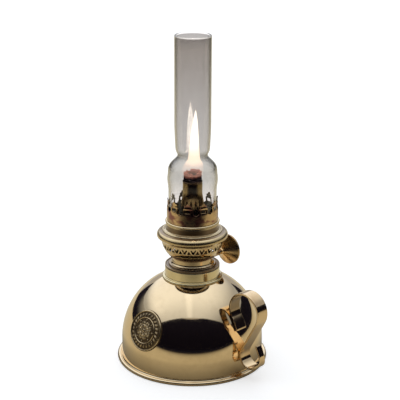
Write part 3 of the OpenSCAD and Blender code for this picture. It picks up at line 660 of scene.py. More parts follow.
def thicken(bm, away, thick, ease):
    """Gives a curved sheet a thickness behind it, with rounded edges round it and its holes.
    away is the direction straight out of the sheet at a point."""
    thick *= MM
    ease *= MM
    # The back and the back half of each rounded edge are marked as inner, to be darkened as painted
    # shade.
    inner = bm.verts.layers.float.get("inner") or bm.verts.layers.float.new("inner")
    outward = {}
    faces = list(bm.faces)
    rims = [edge for edge in bm.edges if edge.is_boundary]
    for edge in rims:
        one, two = edge.verts
        middle = (one.co + two.co) / 2
        side = (two.co - one.co).cross(away(middle)).normalized()
        if side.dot(middle - edge.link_faces[0].calc_center_median()) < 0:
            side = -side
        for vert in edge.verts:
            outward[vert] = outward.get(vert, Vector()) + side
    back = {vert: bm.verts.new(vert.co - away(vert.co) * thick) for vert in list(bm.verts)}
    for vert in back.values():
        vert[inner] = 1
    for face in faces:
        bm.faces.new([back[vert] for vert in reversed(face.verts)])
    bends = [math.radians(a) for a in (30, 60, 90)]
    rows = {}
    for vert, side in outward.items():
        up = away(vert.co)
        side = side.normalized() * ease
        front = [vert.co + side * math.sin(a) - up * ease * (1 - math.cos(a)) for a in bends]
        rear = [vert.co + side * math.sin(a) - up * (thick - ease * (1 - math.cos(a)))
                for a in reversed(bends)]
        rows[vert] = [vert, *(bm.verts.new(spot) for spot in front + rear), back[vert]]
        for made in rows[vert][3:]:
            made[inner] = 1
    for edge in rims:
        one, two = (rows[vert] for vert in edge.verts)
        for i in range(len(one) - 1):
            bm.faces.new((one[i], two[i], two[i + 1], one[i + 1]))


def slope_away(radius):
    """The direction straight out of a wall of revolution, from its radius at each height."""
    def away(spot):
        z = spot.z / MM
        rise = (radius(z + 0.05) - radius(z - 0.05)) / 0.1
        return Vector((spot.x, spot.y, -rise * math.hypot(spot.x, spot.y))).normalized()
    return away


def basket_piece():
    """The pierced bowl, with the turned bead that it stands on."""
    bm = bmesh.new()
    pitch = math.tau * BASKET_R / PIERCED
    low, high = basket_low + 2 * BASKET_BEAD_R - 0.25, basket_high
    base = basket_high - PIERCED_DROP - PIERCED_H
    room = bowl_radius(base) * math.sin(math.pi / PIERCED) - PIERCED_RIB
    foot, stem = room * 0.7, room * 0.3

    def hole(outline, shift):
        """A hole drawn straight on, moved round the bowl."""
        return [(x * BASKET_R / bowl_radius(z) + shift, z) for x, z in eased(outline)]

    def seam(z):
        """The line between two sectors, which leans to run between their holes."""
        return -pitch * (0.32 - 0.19 * (z - low) / (high - low))

    triangle = [(-foot, base, 0.3), (foot, base, 0.3), (0, base + PIERCED_H * 0.8, 0.3)]
    fork = [(-stem, base, 0.3), (stem, base, 0.3), (room, base + PIERCED_H * 0.85, 0.35),
            (room * 0.6, base + PIERCED_H, 0.3), (0, base + PIERCED_H * 0.5, 0.3),
            (-room * 0.6, base + PIERCED_H, 0.3), (-room, base + PIERCED_H * 0.85, 0.35)]
    columns, rows = 8, 24
    heights = [low + (high - low) * k / rows for k in range(rows + 1)]
    border = ([(seam(low) + pitch * i / columns, low) for i in range(columns)]
              + [(seam(z) + pitch, z) for z in heights[:-1]]
              + [(seam(high) + pitch - pitch * i / columns, high) for i in range(columns)]
              + [(seam(z), z) for z in reversed(heights[1:])])
    cut_sheet(bm, border, [hole(triangle, 0), hole(fork, pitch / 2)], bowl_radius, BASKET_R,
              PIERCED, PIERCED_TURN, 0.62)
    thicken(bm, slope_away(bowl_radius), BASKET_T, 0.12)
    bead = (BASKET_FOOT_R - BASKET_BEAD_R, basket_low + BASKET_BEAD_R)
    spin(bm, [(NECK_R - NECK_T, basket_low)] + arc(bead, BASKET_BEAD_R, -90, 90, 12)
         + [(NECK_R - NECK_T, basket_low + 2 * BASKET_BEAD_R)])
    return mesh_piece("basket", bm)


fitted(basket_piece(), burner_metal, "burner", "burner_brass", "air_basket")


# The outer wick tube flares towards its foot, where the winder's wheels reach in. It is painted
# dark brown low down, as painted shade inside the gallery and the crown, brass above, and sooty at its
# top.
TUBE_TOP_R, TUBE_FOOT_R, TUBE_WALL, TUBE_LIP = 7.0, 8.8, 0.35, 0.18
FLARE_TOP, FLARE_H = 8.0, 14.0
WHEEL_ROOM = 0.8
tube_low, tube_high = (corner.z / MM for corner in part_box("wick_tube_outer"))
wheel_low, wheel_high = (corner.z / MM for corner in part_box("spiked_wheel_front"))
port_low, port_high = (corner.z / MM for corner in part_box("air_port"))


def tube_radius(z):
    """The tube's outer radius at a height, easing from its foot into its narrow rolled top."""
    share = min(1, max(0, (tube_high - FLARE_TOP - z) / FLARE_H))
    return (TUBE_TOP_R + (TUBE_FOOT_R - TUBE_TOP_R) * share * share * (3 - 2 * share)
            + TUBE_LIP * ridge(z - tube_high + 0.4, 0.5))


def rolled_sheet(bm, radius, heights, columns, gaps):
    """A sheet rolled round the axis, with a row of points at each height. A gap leaves it open:
    its turn and half its width in degrees, its foot and its top."""
    rings = [[bm.verts.new(Vector((radius(z) * math.cos(math.tau * k / columns),
                                   radius(z) * math.sin(math.tau * k / columns), z)) * MM)
              for k in range(columns)] for z in heights]
    for low_z, high_z, low, high in zip(heights, heights[1:], rings, rings[1:]):
        middle = (low_z + high_z) / 2
        for k in range(columns):
            turn = (k + 0.5) * 360 / columns
            if any(abs((turn - at + 180) % 360 - 180) < half and foot < middle < top
                   for at, half, foot, top in gaps):
                continue
            n = (k + 1) % columns
            bm.faces.new((low[k], low[n], high[n], high[k]))
    bmesh.ops.delete(bm, geom=[v for v in bm.verts if not v.link_faces], context="VERTS")


def tube_piece():
    """The rolled tube, open to the winder's wheels and to the air port."""
    bm = bmesh.new()
    flare = tube_high - FLARE_TOP - FLARE_H
    heights = [tube_low, wheel_low - WHEEL_ROOM, wheel_high + WHEEL_ROOM, port_low, port_high]
    heights += [flare + FLARE_H * i / 24 for i in range(25)]
    heights += [tube_high - 1.2 + 0.15 * i for i in range(9)]
    gaps = [(0, 26, wheel_low - WHEEL_ROOM, wheel_high + WHEEL_ROOM), (180, 22, port_low, port_high)]
    rolled_sheet(bm, tube_radius, heights, 96, gaps)
    thicken(bm, slope_away(tube_radius), TUBE_WALL, 0.1)
    return mesh_piece("wick_tube", bm)


tube_finish, tube_tree, tube_shader = plain_material("sooty brass shaded low")
tube_height = add(tube_tree, "SeparateXYZ",
                Vector=add(tube_tree, "TexCoord").outputs["Object"]).outputs[2]
soot = ranged(tube_tree, tube_height, (tube_high - 3) * MM, (tube_high - 0.5) * MM)
# Painted shade: dark brown low down, where the tube stands inside the gallery and the crown.
low_shade = ranged(tube_tree, tube_height, (basket_high + 12) * MM, (basket_high + 20) * MM)
brass_shaded_low = mixed(tube_tree, low_shade, (0.10, 0.055, 0.03), (0.50, 0.37, 0.17))
tube_film = placed(tube_tree, TARNISH, Clean=mixed(tube_tree, soot, brass_shaded_low,
                                                    (0.20, 0.15, 0.11)),
                   Stain=(0.16, 0.08, 0.04), Size=150.0, Amount=0.7)
fill(tube_tree, tube_shader.inputs["Base Color"],
     inside_dark(tube_tree, tube_film.outputs["Color"]))
fill(tube_tree, tube_shader.inputs["Roughness"],
     ranged(tube_tree, tube_film.outputs["Mask"], 0.0, 1.0, 0.10, 0.30, "LINEAR"))
tube_shader.inputs["Metallic"].default_value = 1.0
fitted(tube_piece(), tube_finish, "burner", "inner_brass", "wick_tube_outer")


# The gland is a short turned tube, soldered through the neck for the winder's shaft to run in.
GLAND_R = 2.2
SHAFT_R = 1.0
gland_from, gland_to = (corner.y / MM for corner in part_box("shaft_gland"))
shaft_middle = (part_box("winder_shaft")[0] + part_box("winder_shaft")[1]) / 2


def on_shaft(y):
    """A place on the winder's axis, with its Z along +Y."""
    return (Matrix.Translation((shaft_middle.x, y * MM, shaft_middle.z))
            @ Matrix.Rotation(-math.pi / 2, 4, "X"))


gland_l = gland_to - gland_from
gland_outline = eased([(SHAFT_R + 0.05, 0), (GLAND_R, 0), (GLAND_R, gland_l - 1.3, 0.3),
                       (GLAND_R - 0.35, gland_l - 1.1, 0.2), (GLAND_R - 0.35, gland_l - 0.8, 0.2),
                       (GLAND_R, gland_l - 0.6, 0.2), (GLAND_R, gland_l, 0.3),
                       (SHAFT_R + 0.05, gland_l, 0.1)])
fitted(turned("gland", gland_outline, place=on_shaft(gland_from), steps=64), burner_metal,
       "burner", "burner_brass", "shaft_gland")


# The winder's shaft is drawn steel rod, darkened by oil, with two spiked wheels pinned on it.
steel, steel_tree, steel_shader = plain_material("oiled steel")
steel_film = placed(steel_tree, TARNISH, Clean=(0.46, 0.43, 0.38), Stain=(0.20, 0.13, 0.08),
                    Size=300.0, Amount=0.8)
fill(steel_tree, steel_shader.inputs["Base Color"], steel_film.outputs["Color"])
fill(steel_tree, steel_shader.inputs["Roughness"],
     ranged(steel_tree, steel_film.outputs["Mask"], 0.0, 1.0, 0.25, 0.5, "LINEAR"))
steel_shader.inputs["Metallic"].default_value = 1.0
kept("winder_shaft", steel)


# The knob is two pressings: a trumpet with a hub on the shaft, and a dished face crimped into
# its edge. Thumbs keep it bright, and its lacquer has yellowed to a warmer gold.
KNOB_R, KNOB_L, KNOB_T, KNOB_EDGE, HUB_R = 11.1, 9.2, 0.6, 1.4, 2.0
knob_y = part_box("knob_cone")[0].y / MM


def trumpet(share, inset=0.0):
    """A point on the trumpet's curve, from the hub to the edge."""
    flat = KNOB_L - KNOB_EDGE
    return (HUB_R + (KNOB_R - HUB_R) * share ** 1.35 - inset, 1 + (flat - 1) * share + inset)


knob_metal = brass("knob brass", (0.92, 0.62, 0.29), (0.56, 0.28, 0.10), 0.4, 0.25, 0.36,
                   size=90.0, rings=1800.0, dents=0.0, lacquer=0.12)
cone_outline = (
    eased([(SHAFT_R + 0.02, 0), (HUB_R, 0, 0.3), (HUB_R, 1.0)], cyclic=False)
    + [trumpet(i / 40) for i in range(2, 39)]
    + eased([trumpet(1), (KNOB_R, KNOB_L - KNOB_EDGE + 0.1, 0.5), (KNOB_R, KNOB_L, 0.55),
             (KNOB_R - KNOB_T, KNOB_L)], cyclic=False)
    + [trumpet(i / 20, KNOB_T) for i in range(20, 1, -1)] + [(SHAFT_R + 0.02, 1.6)])
knob_trumpet = turned("knob_trumpet", cone_outline, place=on_shaft(knob_y), steps=128)
browned = knob_trumpet.data.attributes.new("inner", "FLOAT", "POINT")
for vert, share in zip(knob_trumpet.data.vertices, browned.data):
    reach = math.hypot(vert.co.x - shaft_middle.x, vert.co.z - shaft_middle.z) / MM
    share.value = 0.45 * min(1, max(0, (reach - 4.5) / 5))
fitted(knob_trumpet, knob_metal, "winder", "polished_brass", "knob_cone")
face_r = KNOB_R - KNOB_T - 0.02
face_outline = eased([(0, -0.15), (face_r * 0.12, -0.15, 0.3), (face_r * 0.16, -0.45, 0.3),
                      (face_r * 0.3, -0.45, 0.3), (face_r * 0.34, -0.2, 0.3),
                      (face_r * 0.42, -0.2, 0.3), (face_r * 0.46, -0.5, 0.3),
                      (face_r * 0.8, -0.5, 0.8), (face_r * 0.87, -0.02, 0.5), (face_r, -0.02, 0.2),
                      (face_r, -0.6), (face_r * 0.84, -0.6, 0.3), (face_r * 0.78, -1.1, 0.3),
                      (0, -1.1)], cyclic=False)
fitted(turned("knob_dish", face_outline, cyclic=False, place=on_shaft(knob_y + KNOB_L), steps=128),
       knob_metal, "winder", "polished_brass", "knob_face")


# The gallery is pressed and spun: a cushion edge over a shelf that sits on the basket's rim,
# a small bead, and the neck that the crown is crimped on. It lifts off to light the wick.
CUSHION_R, CUSHION_OUT, GALLERY_T = 3.05, 25.45, 0.6
SMALL_BEAD_R = 0.7
GALLERY_NECK_R = 19.0
gallery_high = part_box("gallery_ring")[1].z / MM
cushion = (CUSHION_OUT - CUSHION_R, basket_high + 2.9)
small_bead = (GALLERY_NECK_R + 2, cushion[1] + CUSHION_R + SMALL_BEAD_R * 0.9)
bead_top = cushion[1] + CUSHION_R + 2 * SMALL_BEAD_R
shelf_z = basket_high + 0.03
lip_r = BASKET_R + 0.3
gallery_outline = (
    [(lip_r, basket_high - 0.3), (lip_r + 0.3, basket_high - 0.3)]
    + arc(cushion, CUSHION_R, -18, 84, 32)
    + arc(small_bead, SMALL_BEAD_R, -20, 150, 14)
    + eased([(GALLERY_NECK_R + 0.6, bead_top + 0.02), (GALLERY_NECK_R, bead_top + 0.1, 0.5),
             (GALLERY_NECK_R, gallery_high, 0.15), (GALLERY_NECK_R - GALLERY_T, gallery_high),
             (GALLERY_NECK_R - GALLERY_T, cushion[1] + CUSHION_R - GALLERY_T, 0.3),
             (cushion[0] - 0.5, cushion[1] + CUSHION_R - GALLERY_T)], cyclic=False)
    + arc(cushion, CUSHION_R - GALLERY_T, 80, -18, 20)
    + [(lip_r + 0.2, shelf_z + GALLERY_T), (BASKET_R - 1.4, shelf_z + GALLERY_T),
       (BASKET_R - 1.4, shelf_z), (lip_r, shelf_z)])
# Its dark bands are painted shade on the neck above the small bead and in the crease at the cushion's
# top; a duller, browner band runs round the cushion's edge.
gallery_metal = brass("gallery brass", (0.70, 0.55, 0.31), BURNER_STAIN, 0.6, 0.10, 0.3,
                      size=80.0, rings=1200.0,
                      dark_bands=[(bead_top + 2.2, 2.6, 0.9, (0.13, 0.075, 0.035)),
                             (cushion[1] + CUSHION_R + 0.1, 0.5, 0.8, (0.16, 0.085, 0.04)),
                             (cushion[1] + 0.5, 2.8, 0.8, (0.60, 0.44, 0.21))])
fitted(turned("gallery", gallery_outline, steps=192), gallery_metal, "gallery", "polished_brass",
       "gallery_ring")


# The crown holds the glass: a band with a bead at its foot, and sprung prongs with windows and
# pointed tips. Years beside the flame have left it blotched brown and purple.
CROWN_R, CROWN_T = 18.2, 0.5
CROWN_BEAD_R, LEDGE_Z, LEDGE_T, LEDGE_R = 0.8, 2.2, 0.8, 15.6
BAND_H, PRONG_H, PRONGS, PRONG_W = 9.6, 8.6, 10, 6.4
WINDOW_W, WINDOW_H, WINDOW_UP = 4.3, 2.7, 1.6
PRONG_BAR = 0.3
CROWN_TURN = -56
GRIP_R, GRIP_SHARE, TIP_OUT = 17.7, 0.63, 0.6
crown_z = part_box("chimney_crown")[0].z / MM
band_top = crown_z + BAND_H - 0.02
prong_top = band_top + PRONG_H


def crown_radius(z):
    """The crown's outer radius at a height: upright, in to the grip, then out to the tip."""
    share = (z - band_top) / PRONG_H
    bar = PRONG_BAR * ridge(z - band_top - WINDOW_UP - WINDOW_H - 0.9, 0.95)
    if share <= 0:
        return CROWN_R + 0.1
    if share < GRIP_SHARE:
        s = share / GRIP_SHARE
        return CROWN_R + 0.1 - (CROWN_R + 0.1 - GRIP_R) * s * s * (3 - 2 * s) + bar
    s = min(1, (share - GRIP_SHARE) / (1 - GRIP_SHARE))
    return GRIP_R + TIP_OUT * s * s + bar


def crown_piece():
    """The pierced band and prongs, the foot bead, and the ledge that the glass stands on."""
    bm = bmesh.new()
    reference = CROWN_R + 0.1
    half = math.pi * reference / PRONGS
    slot = reference * math.sin(math.pi / PRONGS) - PRONG_W / 2
    low = crown_z + 1.2
    side = half - slot
    rise = band_top + slot
    right = ([(half, low)] + [(half, low + (band_top - low) * k / 12) for k in range(1, 12)]
             + [(half - slot * math.sin(a), rise - slot * math.cos(a))
                for a in (math.pi / 2 * k / 10 for k in range(11))]
             + eased([(side, rise), (side, band_top + 4.6, 0.6), (side - 1.1, prong_top - 3.0, 0.8),
                      (side - 0.95, prong_top - 2.3, 0.3), (side - 0.5, prong_top - 1.8, 0.3),
                      (side - 1.3, prong_top - 1.5, 0.3), (1.0, prong_top - 1.1, 0.3),
                      (0.75, prong_top - 0.3, 0.4), (0, prong_top)], cyclic=False)[1:-1])
    foot = [(-half + 2 * half * k / 16, low) for k in range(1, 16)]
    border = foot + right + [(0, prong_top)] + [(-x, z) for x, z in reversed(right)]
    sill = band_top + WINDOW_UP
    window = eased([(-WINDOW_W / 2, sill, 0.35), (WINDOW_W / 2, sill, 0.35),
                    (WINDOW_W / 2, sill + WINDOW_H, 0.35), (-WINDOW_W / 2, sill + WINDOW_H, 0.35)])
    cut_sheet(bm, border, [window], crown_radius, reference, PRONGS, CROWN_TURN, 0.6)
    thicken(bm, slope_away(crown_radius), CROWN_T, 0.24)
    bead = (GALLERY_NECK_R - CROWN_BEAD_R + 0.45, crown_z + CROWN_BEAD_R)
    spin(bm, [(CROWN_R - CROWN_T, crown_z)] + arc(bead, CROWN_BEAD_R, -90, 96, 14)
         + [(CROWN_R, crown_z + 2 * CROWN_BEAD_R), (CROWN_R - CROWN_T, crown_z + 2 * CROWN_BEAD_R)])
    ledge = crown_z + LEDGE_Z
    spin(bm, eased([(CROWN_R - CROWN_T + 0.05, ledge), (LEDGE_R, ledge, 0.25),
                    (LEDGE_R, ledge + LEDGE_T, 0.25), (CROWN_R - CROWN_T + 0.05, ledge + LEDGE_T)]))
    return mesh_piece("crown", bm)


def crown_finish():
    """Brass browned in blotches, with the purple that heat draws out of it."""
    made, tree, shader = plain_material("heat-stained brass")
    spot = add(tree, "TexCoord").outputs["Object"]
    patch = add(tree, "TexNoise", Vector=spot, Scale=140.0, Detail=3.0, Distortion=0.8)
    heat = mixed(tree, ranged(tree, patch.outputs[0], 0.44, 0.66), (0.66, 0.46, 0.23),
                 (0.26, 0.11, 0.09))
    film = placed(tree, TARNISH, Clean=heat, Stain=(0.13, 0.065, 0.045), Size=150.0, Amount=0.8)
    high = add(tree, "SeparateXYZ", Vector=spot).outputs[2]
    rubbed = ranged(tree, high, (crown_z + 1.5) * MM, (crown_z + 1.8) * MM, 1.0, 0.0)
    colour = mixed(tree, rubbed, film.outputs["Color"], (0.82, 0.66, 0.40))
    # Painted shade on the crown's inner side.
    fill(tree, shader.inputs["Base Color"], inside_dark(tree, colour, (0.20, 0.12, 0.055)))
    fill(tree, shader.inputs["Roughness"],
         ranged(tree, film.outputs["Mask"], 0.0, 1.0, 0.16, 0.38, "LINEAR"))
    marks = placed(tree, SPIN_MARKS, Rings=500.0, Waves=140.0)
    bump = add(tree, "Bump", Strength=0.12, Distance=0.001, Height=marks.outputs["Height"])
    fill(tree, shader.inputs["Normal"], bump.outputs[0])
    shader.inputs["Metallic"].default_value = 1.0
    return made


fitted(crown_piece(), crown_finish(), "gallery", "burner_brass", "chimney_crown")


# The wick is a flat cotton ribbon rolled into a tube between the two wick tubes. Its end is
# charred and lumpy, and the lumps still glow where the flame stands on them.
WICK_R, WICK_T, WICK_GAP = 6.4, 1.5, 110
WICK_SPLIT_RISE = 9
wick_low, wick_high = (corner.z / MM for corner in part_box("wick"))
split_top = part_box("air_port")[1].z / MM + WICK_SPLIT_RISE


def wick_piece():
    """The rolled ribbon, split low down round the air port, and lumpy at its burning end."""
    bm = bmesh.new()
    heights = [wick_low + (split_top - wick_low) * k / 40 for k in range(40)]
    heights += [split_top + (wick_high - 8 - split_top) * k / 14 for k in range(14)]
    heights += [wick_high - 8 + 8 * k / 26 for k in range(27)]
    rolled_sheet(bm, lambda z: WICK_R, heights, 144, [(180, WICK_GAP / 2, wick_low - 1, split_top)])
    thicken(bm, lambda spot: Vector((spot.x, spot.y, 0)).normalized(), WICK_T, 0.45)
    for vert in bm.verts:
        spot = vert.co / MM
        end = max(0.0, 1 - (wick_high - spot.z) / 4.5)
        lump = noise.noise(Vector((spot.x, spot.y, 0)) * 0.33 + Vector((3.1, 0.7, 0)))
        knot = noise.noise(spot * 0.8)
        spot.z -= end * (0.9 - 2.2 * lump - 1.2 * knot)
        r = math.hypot(spot.x, spot.y)
        swell = min(6.55, max(4.75, r + end * 0.5 * knot)) / r
        vert.co = Vector((spot.x * swell, spot.y * swell, min(spot.z, wick_high))) * MM
    return mesh_piece("wick_ribbon", bm, crease=70)


def wick_finish():
    """Woven cotton below, char above, and embers on top."""
    made, tree, shader = plain_material("burning wick")
    spot = add(tree, "TexCoord").outputs["Object"]
    high = add(tree, "SeparateXYZ", Vector=spot).outputs[2]
    weave = add(tree, "TexWave", {"wave_type": "BANDS", "bands_direction": "Z"}, Vector=spot,
                Scale=260.0, Distortion=2.0, Detail=2.0)
    cotton = mixed(tree, weave.outputs["Fac"], (0.42, 0.35, 0.24), (0.66, 0.58, 0.45))
    char = mixed(tree, ranged(tree, high, (wick_high - 11) * MM, (wick_high - 6) * MM), cotton,
                 (0.017, 0.008, 0.014))
    crumbs = add(tree, "TexNoise", Vector=spot, Scale=420.0, Detail=4.0)
    edge = maths(tree, "ADD", high, maths(tree, "MULTIPLY", crumbs.outputs[0], 2.4 * MM))
    ember = ranged(tree, edge, (wick_high - 2.2) * MM, (wick_high - 0.2) * MM)
    fill(tree, shader.inputs["Base Color"], mixed(tree, ember, char, (0.24, 0.085, 0.06)))
    glow = mixed(tree, crumbs.outputs[0], (0.05, 0.012, 0.010), (0.22, 0.085, 0.06))
    fill(tree, shader.inputs["Emission Color"], mixed(tree, ember, (0.0, 0.0, 0.0), glow))
    bump = add(tree, "Bump", Strength=0.8, Distance=0.0004,
               Height=maths(tree, "ADD", crumbs.outputs[0], weave.outputs["Fac"]))
    fill(tree, shader.inputs["Normal"], bump.outputs[0])
    shader.inputs["Roughness"].default_value = 0.85
    shader.inputs["Emission Strength"].default_value = 1.0
    return made


fitted(wick_piece(), wick_finish(), "wick", "wick_cotton", "wick")


# The flame stands on the wick's rim, pale gold with a white heart, and draws up into the glass.
# A fainter mantle hangs round its root, down over the wick's edge.
FLAME_TOP = 46.0
FLAME_ASIDE, FLAME_LEAN = 0.9, 1.2
FLAME_MIRRORED = 5.0


def curve_through(stops, count):
    """Points on a smooth curve through (height, radius) stops."""
    out = []
    for i in range(len(stops) - 1):
        a, b, c, d = (Vector(stops[min(len(stops) - 1, max(0, i + k))]) for k in (-1, 0, 1, 2))
        for step in range(count):
            t = step / count
            out.append(tuple(0.5 * (2 * b + (c - a) * t + (2 * a - 5 * b + 4 * c - d) * t ** 2
                                    + (3 * b - a - 3 * c + d) * t ** 3)))
    return out + [tuple(stops[-1])]


def flame_shell(name, stops, strength, low_colour, high_colour, low_alpha, high_alpha, fade,
                thin):
    """A shell of the flame: its outline, its light, how clear it is below and above, and how
    much of it is left in the tall column."""
    bm = bmesh.new()
    outline = [(max(0.0, r), wick_high + rise) for rise, r in curve_through(stops, 5)]
    spin(bm, outline, cyclic=False, steps=64)
    for vert in bm.verts:
        rise = vert.co.z / MM - wick_high
        aside = FLAME_ASIDE * min(1, max(0, (rise - 2.2) / 4))
        vert.co += camera_right * (aside + FLAME_LEAN * (rise / FLAME_TOP) ** 2) * MM
    made, tree, shader = plain_material(name)
    high = add(tree, "SeparateXYZ", Vector=add(tree, "TexCoord").outputs["Object"]).outputs[2]
    climb = ranged(tree, high, (wick_high + fade[0]) * MM, (wick_high + fade[1]) * MM)
    fill(tree, shader.inputs["Emission Color"], mixed(tree, climb, low_colour, high_colour))
    column = ranged(tree, high, (wick_high + 11) * MM, (wick_high + 24) * MM, 1.0, thin)
    fill(tree, shader.inputs["Alpha"],
         maths(tree, "MULTIPLY", column,
               ranged(tree, climb, 0.0, 1.0, low_alpha, high_alpha, "LINEAR")))
    fill(tree, shader.inputs["Emission Strength"],
         ranged(tree, mirrored_ray(tree), 0.0, 1.0, strength, strength * FLAME_MIRRORED, "LINEAR"))
    shader.inputs["Base Color"].default_value = (0, 0, 0, 1)
    shader.inputs["Specular IOR Level"].default_value = 0
    shader.inputs["Roughness"].default_value = 1
    fitted(mesh_piece(name, bm), made, "wick", "wick_cotton")


flame_shell("flame_heart", [(3.5, 0.2), (6.0, 2.6), (10, 3.2), (17, 3.1), (26, 2.7), (34, 1.9),
                            (40, 1.0), (FLAME_TOP - 1, 0)],
            2.7, (0.62, 0.49, 0.38), (1.0, 0.95, 0.86), 0.2, 0.9, (5, 24), 1.0)
flame_shell("flame_mantle", [(-1.5, 7.4), (0.5, 7.5), (3.0, 7.35), (6.5, 6.1), (9.0, 4.7),
                             (12, 4.0), (22, 3.4), (32, 2.5), (40, 1.3), (FLAME_TOP, 0)],
            1.9, (1.0, 0.72, 0.60), (1.0, 0.80, 0.64), 0.10, 0.55, (3, 8.5), 0.35)


# The chimney is blown glass: a straight foot in the crown, a low bulge, a pinched waist above
# the flame's root, and a long tube with a fire-rounded rim.
GLASS_T, GLASS_FOOT_R, BULGE_R, SHOULDER_R = 1.3, 17.1, 17.9, 17.4
WAIST_R, FLARE_R, GLASS_TOP_R = 10.3, 12.15, 12.9
BULGE_Z, SHOULDER_Z, WAIST_Z, FLARE_Z, STRAIGHT_Z = 29.0, 35.0, 46.7, 50.7, 72.0
glass_low, glass_high = (corner.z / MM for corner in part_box("chimney_glass"))


def glass_radius(z):
    """The glass's outer radius at a height above its foot."""
    stops = [(BULGE_Z - 8, GLASS_FOOT_R), (BULGE_Z, BULGE_R), (SHOULDER_Z, SHOULDER_R),
             (WAIST_Z, WAIST_R), (FLARE_Z, FLARE_R), (STRAIGHT_Z, GLASS_TOP_R)]
    if z <= stops[0][0]:
        return GLASS_FOOT_R
    for (low, r0), (high, r1) in zip(stops, stops[1:]):
        if z < high:
            s = (z - low) / (high - low)
            if low == SHOULDER_Z:
                s = s ** 1.35
            rise = math.sin(s * math.pi / 2) if low >= WAIST_Z else s * s * (3 - 2 * s)
            return r0 + (r1 - r0) * rise
    return GLASS_TOP_R


def chimney_piece():
    """The blown tube, even in wall, with both rims rounded."""
    height = glass_high - glass_low
    rim = GLASS_T / 2
    count = 240
    levels = [rim + (height - 2 * rim) * i / count for i in range(count + 1)]
    radii = [glass_radius(z) for z in levels]
    for _ in range(6):
        middle = [(a + 2 * b + c) / 4 for a, b, c in zip(radii, radii[1:], radii[2:])]
        radii = [radii[0], *middle, radii[-1]]
    outer = [(r, glass_low + z) for r, z in zip(radii, levels)]
    inner = [(r - GLASS_T, z) for r, z in reversed(outer)]
    top = arc((outer[-1][0] - rim, outer[-1][1]), rim, 20, 160, 7)
    foot = arc((outer[0][0] - rim, outer[0][1]), rim, 200, 340, 7)
    return turned("chimney", outer + top + inner + foot, steps=128)


def chimney_finish():
    """Clear glass, painted greyer with height and darker at its top, as painted shade for the grey room
    seen through it.
    """
    made, tree, shader = plain_material("smoked glass")
    high = add(tree, "SeparateXYZ", Vector=add(tree, "TexCoord").outputs["Object"]).outputs[2]
    waist = (glass_low + WAIST_Z) * MM
    # Painted shade: the glass turns greyer up the tube, and darker still at its top, for the grey room
    # seen through it.
    foot = mixed(tree, ranged(tree, high, waist - 30 * MM, waist - 19 * MM), (0.865, 0.83, 0.80),
                 (0.725, 0.705, 0.67))
    body = mixed(tree, ranged(tree, high, waist - 4 * MM, waist + 4 * MM), foot,
                 (0.70, 0.675, 0.65))
    glass_shade = mixed(tree, ranged(tree, high, waist + 4 * MM, (glass_high + 20) * MM), body,
                  (0.515, 0.475, 0.44))
    glass_shade = mixed(tree, ranged(tree, high, (glass_high - 10) * MM, glass_high * MM), glass_shade,
                  (0.45, 0.42, 0.40))
    # Painted highlight: the rim is paler and glows faintly.
    rim = ranged(tree, high, (glass_high - 1.3) * MM, (glass_high - 0.6) * MM)
    glass_shade = mixed(tree, rim, glass_shade, (0.95, 0.94, 0.93))
    fill(tree, shader.inputs["Emission Color"],
         mixed(tree, rim, (0.0, 0.0, 0.0), (0.20, 0.19, 0.18)))
    shader.inputs["Emission Strength"].default_value = 1.0
    # Painted shade: the glass darkens towards its grazing edges, most at the shoulders below the waist,
    # for the dark surroundings that it bends in.
    edge = add(tree, "LayerWeight", Blend=0.28).outputs["Facing"]
    fall = maths(tree, "ABSOLUTE", maths(tree, "SUBTRACT", high, waist - 6 * MM))
    thick = maths(tree, "MULTIPLY", ranged(tree, fall, 4 * MM, 8 * MM, 0.75, 0.0),
                  ranged(tree, edge, 0.12, 0.45))
    glass_shade = mixed(tree, thick, glass_shade, (0.20, 0.195, 0.19))
    fill(tree, shader.inputs["Base Color"],
         mixed(tree, ranged(tree, edge, 0.3, 1.0, 0.0, 0.95, "LINEAR"), glass_shade, (0.12, 0.115, 0.11)))
    shader.inputs["Transmission Weight"].default_value = 1.0
    shader.inputs["IOR"].default_value = 1.47
    shader.inputs["Roughness"].default_value = 0.0
    return made


fitted(chimney_piece(), chimney_finish(), "chimney", "chimney_glass", "chimney_glass")


# The studio is a pale table under one wide overhead panel, with dark cloth hung on the camera's
# side and to both sides, which the metal mirrors as its dark band. A grey wall is behind.
PANEL_HIGH = 0.86
PANEL_FRONT, PANEL_BACK, PANEL_SIDE = 0.69, 2.6, 2.0
CLOTH_AWAY, CLOTH_TALL, CLOTH_TURN = 2.8, 3.2, 152
TABLE_EDGE = 0.30


def stage_piece(name, bm, material):
    """A part of the studio, turned so that its -Y faces the camera."""
    mesh = bpy.data.meshes.new(name)
    bm.to_mesh(mesh)
    bm.free()
    mesh.materials.append(material)
    made = bpy.data.objects.new(name, mesh)
    made.rotation_euler.z = CAMERA_TURN
    bpy.context.scene.collection.objects.link(made)
    return made


def sheet_mesh(corners):
    """A flat sheet between corners in metres."""
    bm = bmesh.new()
    bm.faces.new([bm.verts.new(corner) for corner in corners])
    return bm


def bare_material(name):
    """A material with nothing in it but its output, for the studio's own surfaces."""
    made = bpy.data.materials.new(name)
    made.use_nodes = True
    tree = made.node_tree
    tree.nodes.remove(tree.nodes["Principled BSDF"])
    return made, tree, tree.nodes["Material Output"].inputs["Surface"]


